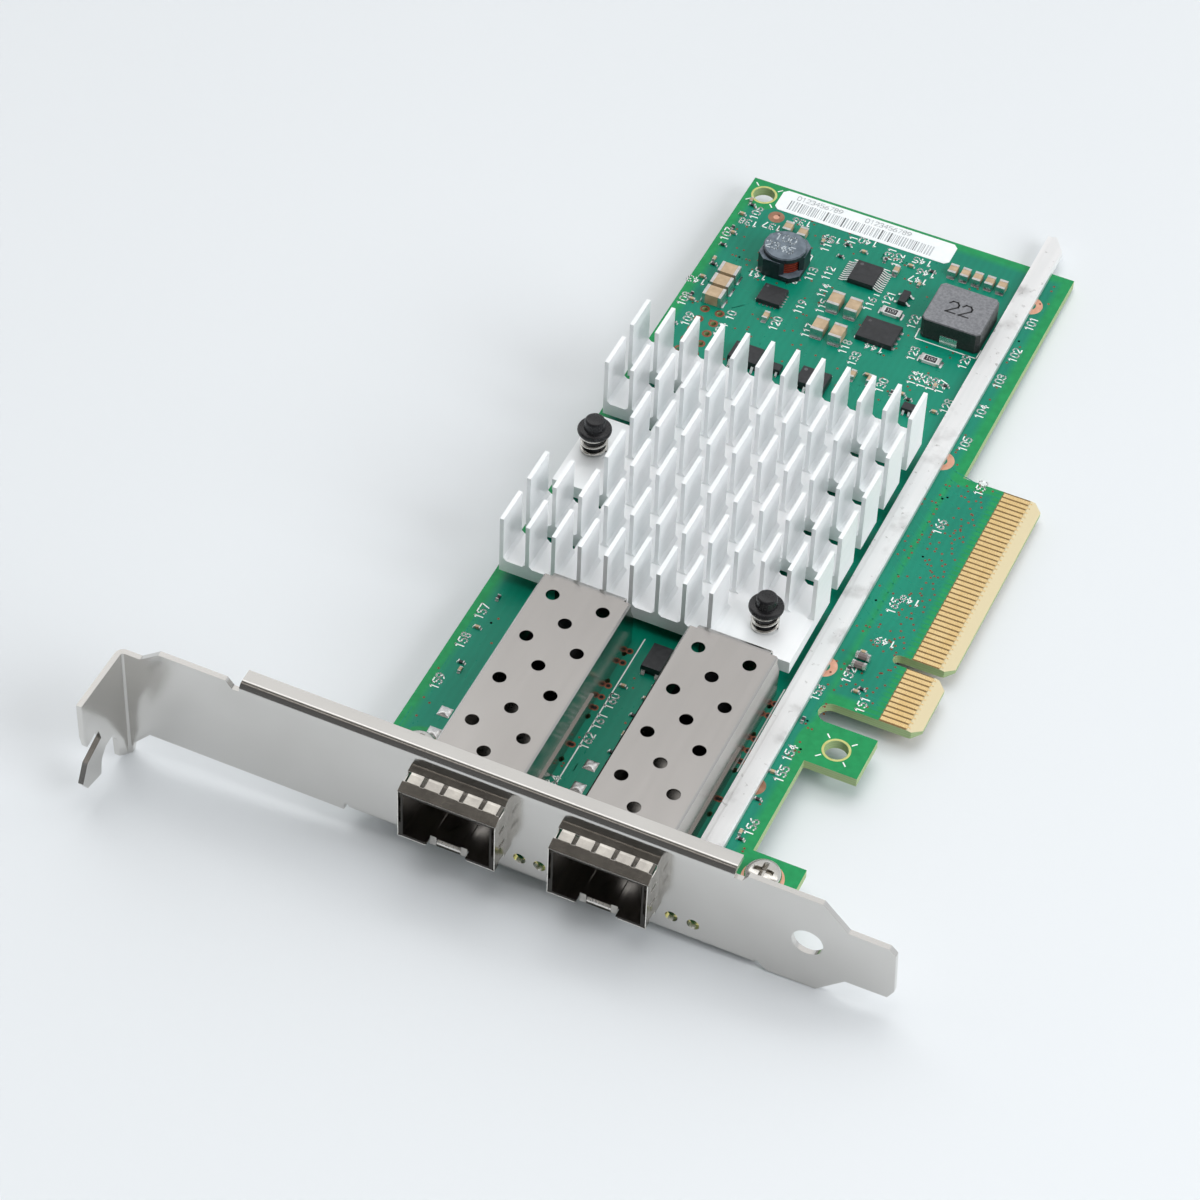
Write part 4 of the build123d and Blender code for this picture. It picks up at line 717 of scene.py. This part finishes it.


# A much lighter copy of the nickel for the collars' rims and the latch rolls: painted highlight.
edge_highlight = finish("painted_edge_highlight", (0.80, 0.77, 0.72), (0.90, 0.88, 0.84), 0.3, 0.7, 900)
latch_nickel = finish("latch_nickel", (0.36, 0.35, 0.33), (0.50, 0.48, 0.45), 0.35, 0.7, 900)
for index, centre in enumerate(centres, start=1):
    made = surface(f"collar_{index}", *collar(centre), collar_plate)
    wall = made.modifiers.new("wall", "SOLIDIFY")
    wall.thickness = 0.16 * mm
    wall.offset = -1
    # The rims take the lighter nickel: painted highlight.
    made.data.materials.append(edge_highlight)
    wall.material_offset_rim = 1
    edge = made.modifiers.new("edge", "BEVEL")
    edge.width = 0.07 * mm
    edge.segments = 2
    edge.limit_method = "ANGLE"
    edge.angle_limit = math.radians(12)
    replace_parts(made, f"emi_collar_{index}")

# Latch tongue: its front edge is rolled over and a shoulder stands at each end.
# An arc of radius 0.42 in the plane across the card, carried along x.
t = np.linspace(0, 1.25 * np.pi / 2, 9)
roll = np.stack([-60.27 - 0.42 * np.sin(t), 1.05 - 0.42 + 0.42 * np.cos(t)], 1)
strips, tabs = [], []
for centre in centres:
    rows = len(roll)
    arc = np.column_stack([roll[:, 0], roll[:, 1] + 0.02])
    points = [np.column_stack([np.full(rows, centre + v), arc]) for v in (-1.85, 1.85)]
    k = np.arange(rows - 1)
    strips.append((np.concatenate(points) * mm, np.stack([k, k + 1, k + rows + 1, k + rows], 1)))
    for s in (-1, 1):
        u = centre + s * 2.4 + np.array([-0.5, 0.5, 0.5, -0.5])
        front = np.array([[-60.78, 0.5], [-60.78, 0.5], [-60.66, 1.85], [-60.66, 1.85]])
        upper = np.column_stack([u, front])
        foot = np.column_stack([u, front[:, 0], front[:, 1] - 0.25])
        sides = [[0, 1, 2, 3], [4, 5, 1, 0], [5, 6, 2, 1], [6, 7, 3, 2], [7, 4, 0, 3]]
        tabs.append((np.concatenate([upper, foot]) * mm, np.array(sides)))
# The rolls take the lighter nickel: painted highlight.
surface("latch_rolls", *joined(*strips), edge_highlight, True, 60)
surface("latch_shoulders", *joined(*tabs), latch_nickel)

# The board under each latch tongue, seen through the tongue's slits, lies in the dark
# of the cage. A sheet of the darker cage nickel, one rectangle each just above the component side,
# stands for that shade: painted shade.
flat = [[(c - 3.0, -59.9), (c + 3.0, -59.9), (c + 3.0, -51.4), (c - 3.0, -51.4)] for c in centres]
points = np.concatenate([flat, np.full((2, 4, 1), face + 0.02)], 2) * mm
surface("latch_shade_sheet", points, [[0, 1, 2, 3], [4, 5, 6, 7]], shaded_plate)

# Punched edges of the vent holes in the roofs: two outer rows and a middle one.
outer_y = (-13.35, -4.45, 4.45, 13.35)
vents = [(c + x, -31.75 + y) for c in centres for x in (-4, 4) for y in outer_y]
vents += [(c, -36.2 + y) for c in centres for y in (-13.425, -4.475, 4.475, 13.425)]
surface("vent_edges", *rings(vents, 1.03, 1.2, face + 9.1 + 0.004, 36), plate)

# Tinned square lands beside the cages' feet, with solder heaped on each.
# Height over the square, u and v from -1 to 1: (1 - u^4)(1 - v^4), rippled.
side = 13  # points along each side
u, v = np.meshgrid(np.linspace(-1, 1, side), np.linspace(-1, 1, side), indexing="ij")
ripple = 0.75 + 0.25 * np.sin(3.1 * u + 1.7) * np.cos(3.7 * v + 0.6)
heap = 0.02 + 0.26 * (1 - u**4) * (1 - v**4) * ripple
i, k = np.meshgrid(np.arange(side - 1), np.arange(side - 1), indexing="ij")
corner = i * side + k
quad = np.stack([corner, corner + side, corner + side + 1, corner + 1], -1).reshape(-1, 4)
heaps = []
for x, y in ((-63.2, -38.4), (-63.0, -42.6), (-40.1, -38.3), (-40.0, -42.8)):
    points = np.stack([x + 0.95 * u, y + 0.95 * v, face + heap], -1).reshape(-1, 3) * mm
    heaps.append((points, quad))
surface("square_lands", *joined(*heaps), tin, True, 60)

# Heat sink: extruded aluminium, 46.6 by 52.4 mm, cross-cut into six rows of
# fins and matt etched, with faint drawing lines along the fins. Two pins hold it.
alloy, tree, body, place = start("etched_aluminium", Metallic=0.2)
drawn = noise(tree, place, 900, 3.0, (1, 0.06, 1))
cloud = noise(tree, place, 90, 3.0)
tone = blend(tree, remap(tree, cloud, 0.35, 0.65, 0, 1), (0.91, 0.94, 0.95), (0.96, 0.97, 0.98))
tone = blend(tree, remap(tree, drawn, 0.45, 0.75, 0, 0.35), tone, (0.84, 0.87, 0.88))
tree.links.new(tone, body.inputs["Base Color"])
tree.links.new(remap(tree, drawn, 0.3, 0.7, 0.36, 0.48), body.inputs["Roughness"])
bump(tree, body, drawn, 3e-6)
dress("heat_sink", alloy)

# Push pins: black nylon with a grip knob, held up by a nickel coil spring of
# 0.5 mm wire; barbs below the board.
nylon = finish("black_nylon", (0.006, 0.006, 0.007), (0.014, 0.014, 0.016), 0.3, 0.0, 500)
spring_wire = finish("spring_nickel", (0.62, 0.60, 0.56), (0.74, 0.72, 0.68), 0.2, 1.0, 500)


def turned(outline, centre, sides=48):
    """Solid of revolution: each radius goes round the centre at equal turns, heights stay."""
    outline = np.asarray(outline, float)
    turn = np.arange(sides) * 2 * np.pi / sides
    x = centre[0] + outline[:, :1] * np.cos(turn)[None]
    y = centre[1] + outline[:, :1] * np.sin(turn)[None]
    z = np.broadcast_to(outline[:, 1:], x.shape)
    points = np.stack([x, y, z], -1) * mm
    i, k = np.meshgrid(np.arange(len(outline) - 1), np.arange(sides), indexing="ij")
    here, after = i * sides + k, i * sides + (k + 1) % sides
    quad = np.stack([here, after, after + sides, here + sides], -1)
    return points.reshape(-1, 3), quad.reshape(-1, 4)


def coil(centre, radius, wire, foot, head, count, around=10, steps=32):
    """Coil spring: a circle of wire carried along a helix whose end turns lie flat."""
    t = np.linspace(0, 1, int(count * steps) + 1)
    ease = np.clip((t - 0.16) / 0.68, 0, 1)
    angle = 2 * np.pi * count * t
    height = foot + wire / 2 + (head - foot - wire) * ease
    v = np.arange(around) * 2 * np.pi / around
    reach = radius + wire / 2 * np.cos(v)[None, :]
    x = centre[0] + reach * np.cos(angle)[:, None]
    y = centre[1] + reach * np.sin(angle)[:, None]
    z = height[:, None] + wire / 2 * np.sin(v)[None, :]
    points = np.stack([x, y, z], -1) * mm
    i, k = np.meshgrid(np.arange(len(t) - 1), np.arange(around), indexing="ij")
    here, after = i * around + k, i * around + (k + 1) % around
    quad = np.stack([here, here + around, after + around, after], -1)
    return points.reshape(-1, 3), quad.reshape(-1, 4)


# Outline of a pin as radius and height: barb below the board, shaft, collar, grip.
barb = [(0.0, -2.6), (0.65, -2.6), (0.85, -2.4), (1.75, -0.3), (1.75, -0.02), (1.25, 0.0)]
grip = [
    (1.25, 8.35), (2.35, 8.4), (2.6, 8.5), (2.65, 8.7), (2.62, 8.95), (2.5, 9.12), (2.3, 9.2),
    (1.85, 9.2), (1.68, 9.25), (1.62, 9.4), (1.55, 10.5), (1.5, 10.7), (1.38, 10.84), (1.2, 10.9),
    (0.0, 10.9),
]
knob = [(r, z - face) for r, z in barb] + [(r, z + face) for r, z in grip]
for index, centre in enumerate([(-64.6, 15.5), (-27.05, -6.4)], start=1):
    pin = surface(f"pin_{index}", *turned(knob, centre), nylon, True, 32)
    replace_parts(pin, f"push_pin_{index}")
    wire = coil(centre, 1.9, 0.5, face + 4.7, face + 8.4, 3.6)
    spring = surface(f"spring_{index}", *wire, spring_wire, True, 60)
    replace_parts(spring, f"pin_spring_{index}")

# Stiffener bar: a drawn plated strip, 145.8 mm long, dull, stained and scuffed.
# Four screws from the solder side hold it.
strip, tree, body, place = start("dull_strip", Metallic=0.6)
streak = noise(tree, place, 500, 4.0, (1, 0.05, 1))
stain = noise(tree, place, 160, 6.0)
fleck = noise(tree, place, 900, 3.0)
tone = blend(tree, remap(tree, streak, 0.3, 0.7, 0, 1), (0.84, 0.85, 0.85), (0.93, 0.93, 0.93))
tone = blend(tree, remap(tree, stain, 0.56, 0.72, 0, 0.55), tone, (0.36, 0.35, 0.34))
tone = blend(tree, remap(tree, fleck, 0.66, 0.74, 0, 0.5), tone, (0.24, 0.22, 0.21))
tree.links.new(tone, body.inputs["Base Color"])
tree.links.new(remap(tree, stain, 0.3, 0.7, 0.34, 0.52), body.inputs["Roughness"])
bump(tree, body, streak, 5e-6)
dress("stiffener_bar", strip)
dress("bar_screws", lead_tin)

# Bracket: nickel-plated steel, 0.86 mm, stamped and bent, a bright warm grey with
# faint rolling marks along its length. Two screws join its tabs to the board.
nickel, tree, body, place = start("bracket_nickel", Metallic=1.0)
rolled = noise(tree, place, 420, 4.0, (0.05, 1, 1))
cloud = noise(tree, place, 45, 3.0)
scratch = noise(tree, place, 1800, 2.0, (0.2, 1, 0.6))
tone = blend(tree, remap(tree, cloud, 0.3, 0.7, 0, 1), (0.63, 0.615, 0.59), (0.71, 0.695, 0.67))
tree.links.new(tone, body.inputs["Base Color"])
tree.links.new(remap(tree, rolled, 0.3, 0.7, 0.17, 0.23), body.inputs["Roughness"])
bump(tree, body, calc(tree, "ADD", rolled, calc(tree, "MULTIPLY", scratch, 0.3)), 2.5e-7)
dress("bracket", nickel)
# The stamped sheet reaches in to the foot of each collar: a flat frame between
# two rectangles, corner by corner, level with the outer face.
frames = []
for centre in centres:
    for half, low_z, high_z in ((8.2, -0.16, 12.12), (7.36, 0.12, 11.27)):
        u = centre + np.array([-half, half, half, -half])
        frames.append(np.column_stack([u, np.full(4, -57.155), [low_z, low_z, high_z, high_z]]))
k = np.arange(4)
ring = np.stack([k, (k + 1) % 4, (k + 1) % 4 + 4, k + 4], 1)
surface("opening_frames", np.concatenate(frames) * mm, np.concatenate([ring, ring + 8]), nickel)


def pan_head(centre, radius=2.65, rim=0.9, crown=1.9, rings_in=30, sides=96):
    """Pan head: height over radius r and turn a, a dome less a cross that fades with r."""
    r = np.concatenate([np.linspace(0.0, 1.0, rings_in) ** 0.9 * radius, [radius, radius]])
    a = np.arange(sides) * 2 * np.pi / sides
    dome = rim + (crown - rim) * np.sqrt(np.clip(1 - (r / radius) ** 3, 0, 1))
    x = r[:, None] * np.cos(a)[None]
    y = r[:, None] * np.sin(a)[None]
    arm = np.minimum(np.abs(x), np.abs(y))
    long = np.maximum(np.abs(x), np.abs(y))
    depth = 1.0 * np.clip((0.34 - arm) / 0.08, 0, 1) * np.clip((1.5 - long) / 0.45, 0, 1)
    z = np.broadcast_to(dome[:, None], x.shape) - depth
    z = np.where(np.arange(len(r))[:, None] == len(r) - 2, rim * 0.6, z)
    z = np.where(np.arange(len(r))[:, None] == len(r) - 1, 0.0, z)
    points = np.stack([x + centre[0], y + centre[1], z + face], -1) * mm
    i, k = np.meshgrid(np.arange(len(r) - 1), np.arange(sides), indexing="ij")
    here, after = i * sides + k, i * sides + (k + 1) % sides
    quad = np.stack([here + sides, after + sides, after, here], -1)
    return points.reshape(-1, 3), quad.reshape(-1, 4)


# Pan head screws, plated, through the board into the bracket's tapped tabs.
shank = [(0.0, -face - 2.1), (1.1, -face - 2.1), (1.25, -face - 1.95), (1.25, face)]
heads = [pan_head(c) for c in screws]
shanks = [turned(shank, c, 32) for c in screws]
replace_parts(surface("screws", *joined(*heads, *shanks), spring_wire, True, 30), "bracket_screws")

# Table, light and camera. The card lies tilted, on its flange, the bracket's
# lower corner and the last bar screw. A plain pale table carries it under broad
# soft light.
slope = np.array([0.0521875, 0.0278969, -0.9982476])
far = np.array([[-1.6, -1.6], [1.6, -1.6], [1.6, 1.6], [-1.6, 1.6]])
rest_z = (far @ slope[:2] - 2.98 * mm) / -slope[2]
mesh = bpy.data.meshes.new("table")
mesh.from_pydata(np.column_stack([far, rest_z]).tolist(), [], [[0, 1, 2, 3]])
table = bpy.data.objects.new("table", mesh)
bpy.context.scene.collection.objects.link(table)
pale, tree, body, place = start("pale_table", Roughness=0.6)
tone = blend(tree, noise(tree, place, 6, 2.0), (0.76, 0.795, 0.82), (0.79, 0.82, 0.845))
tree.links.new(tone, body.inputs["Base Color"])
mesh.materials.append(pale)

# The room: bands of light along y overhead, each as direction, level and share
# of blue, over plain walls that are dark in front of the bracket.
world = bpy.data.worlds.new("studio")
bpy.context.scene.world = world
world.use_nodes = True
tree = world.node_tree
sky = tree.nodes["Background"]
toward = add(tree, "ShaderNodeTexCoord").outputs["Generated"]
way = add(tree, "ShaderNodeSeparateXYZ", {0: toward}).outputs
bands = add(tree, "ShaderNodeValToRGB", {0: remap(tree, way[1], -1, 1, 0, 1)})
ramp = bands.color_ramp
stops = [
    (-0.75, 0.14, 1.0), (-0.30, 0.12, 1.0), (-0.22, 0.4, 0.8), (-0.17, 1.8, 0.9),
    (-0.12, 0.14, 0.9), (0.22, 0.14, 0.9), (0.30, 0.9, 0.95), (0.42, 2.6, 1.0),
    (0.52, 1.4, 1.0), (0.62, 0.86, 1.0), (1.0, 0.90, 1.0),
]
while len(ramp.elements) < len(stops):
    ramp.elements.new(0.5)
for element, (at, level, blue) in zip(ramp.elements, stops):
    element.position = (at + 1) / 2
    element.color = (level, level * (1 + blue) / 2, level * blue, 1)
above = remap(tree, way[2], 0.35, 0.6, 0, 1)
front = remap(tree, way[1], -0.6, -0.1, 1, 0)
room = blend(tree, front, (0.86, 0.89, 0.92), (0.14, 0.14, 0.14))
tree.links.new(blend(tree, above, room, bands.outputs[0]), sky.inputs["Color"])
sky.inputs["Strength"].default_value = 0.85


def lamp(name, spot, aim, size, power, colour=(1, 1, 1)):
    """A square soft light at spot, facing aim."""
    data = bpy.data.lights.new(name, "AREA")
    data.size = size
    data.energy = power
    data.color = colour
    made = bpy.data.objects.new(name, data)
    bpy.context.scene.collection.objects.link(made)
    back = np.array(spot, float) - np.array(aim, float)
    back /= np.linalg.norm(back)
    side = np.cross((0, 0, 1), back)
    side /= np.linalg.norm(side)
    up = np.cross(back, side)
    turned_rows = np.column_stack([side, up, back, spot])
    made.matrix_world = Matrix([*turned_rows.tolist(), (0, 0, 0, 1)])
    return made


# Both lamps stay out of the metal's reflections, which show the room alone.
for light in (
    lamp("key", (-0.15, 0.1, 1.6), (-0.04, 0.0, 0.0), 1.1, 10.0),
    lamp("fill", (1.0, -0.35, 0.8), (-0.04, 0.0, 0.0), 0.8, 10.5, (0.96, 0.98, 1.0)),
):
    light.visible_glossy = False

# The camera was fitted to the card's known points, in metres.
lens = bpy.data.cameras.new("camera")
lens.lens = 120.56
lens.sensor_width = 36
lens.clip_start = 0.01
camera = bpy.data.objects.new("camera", lens)
bpy.context.scene.collection.objects.link(camera)
camera.matrix_world = Matrix(
    (
        (0.908077, -0.326372, 0.262444, 0.103731),
        (0.417646, 0.659174, -0.625349, -0.380464),
        (0.031100, 0.677474, 0.734889, 0.437854),
        (0, 0, 0, 1),
    )
)
bpy.context.scene.camera = camera
bpy.context.scene.view_settings.view_transform = "Standard"
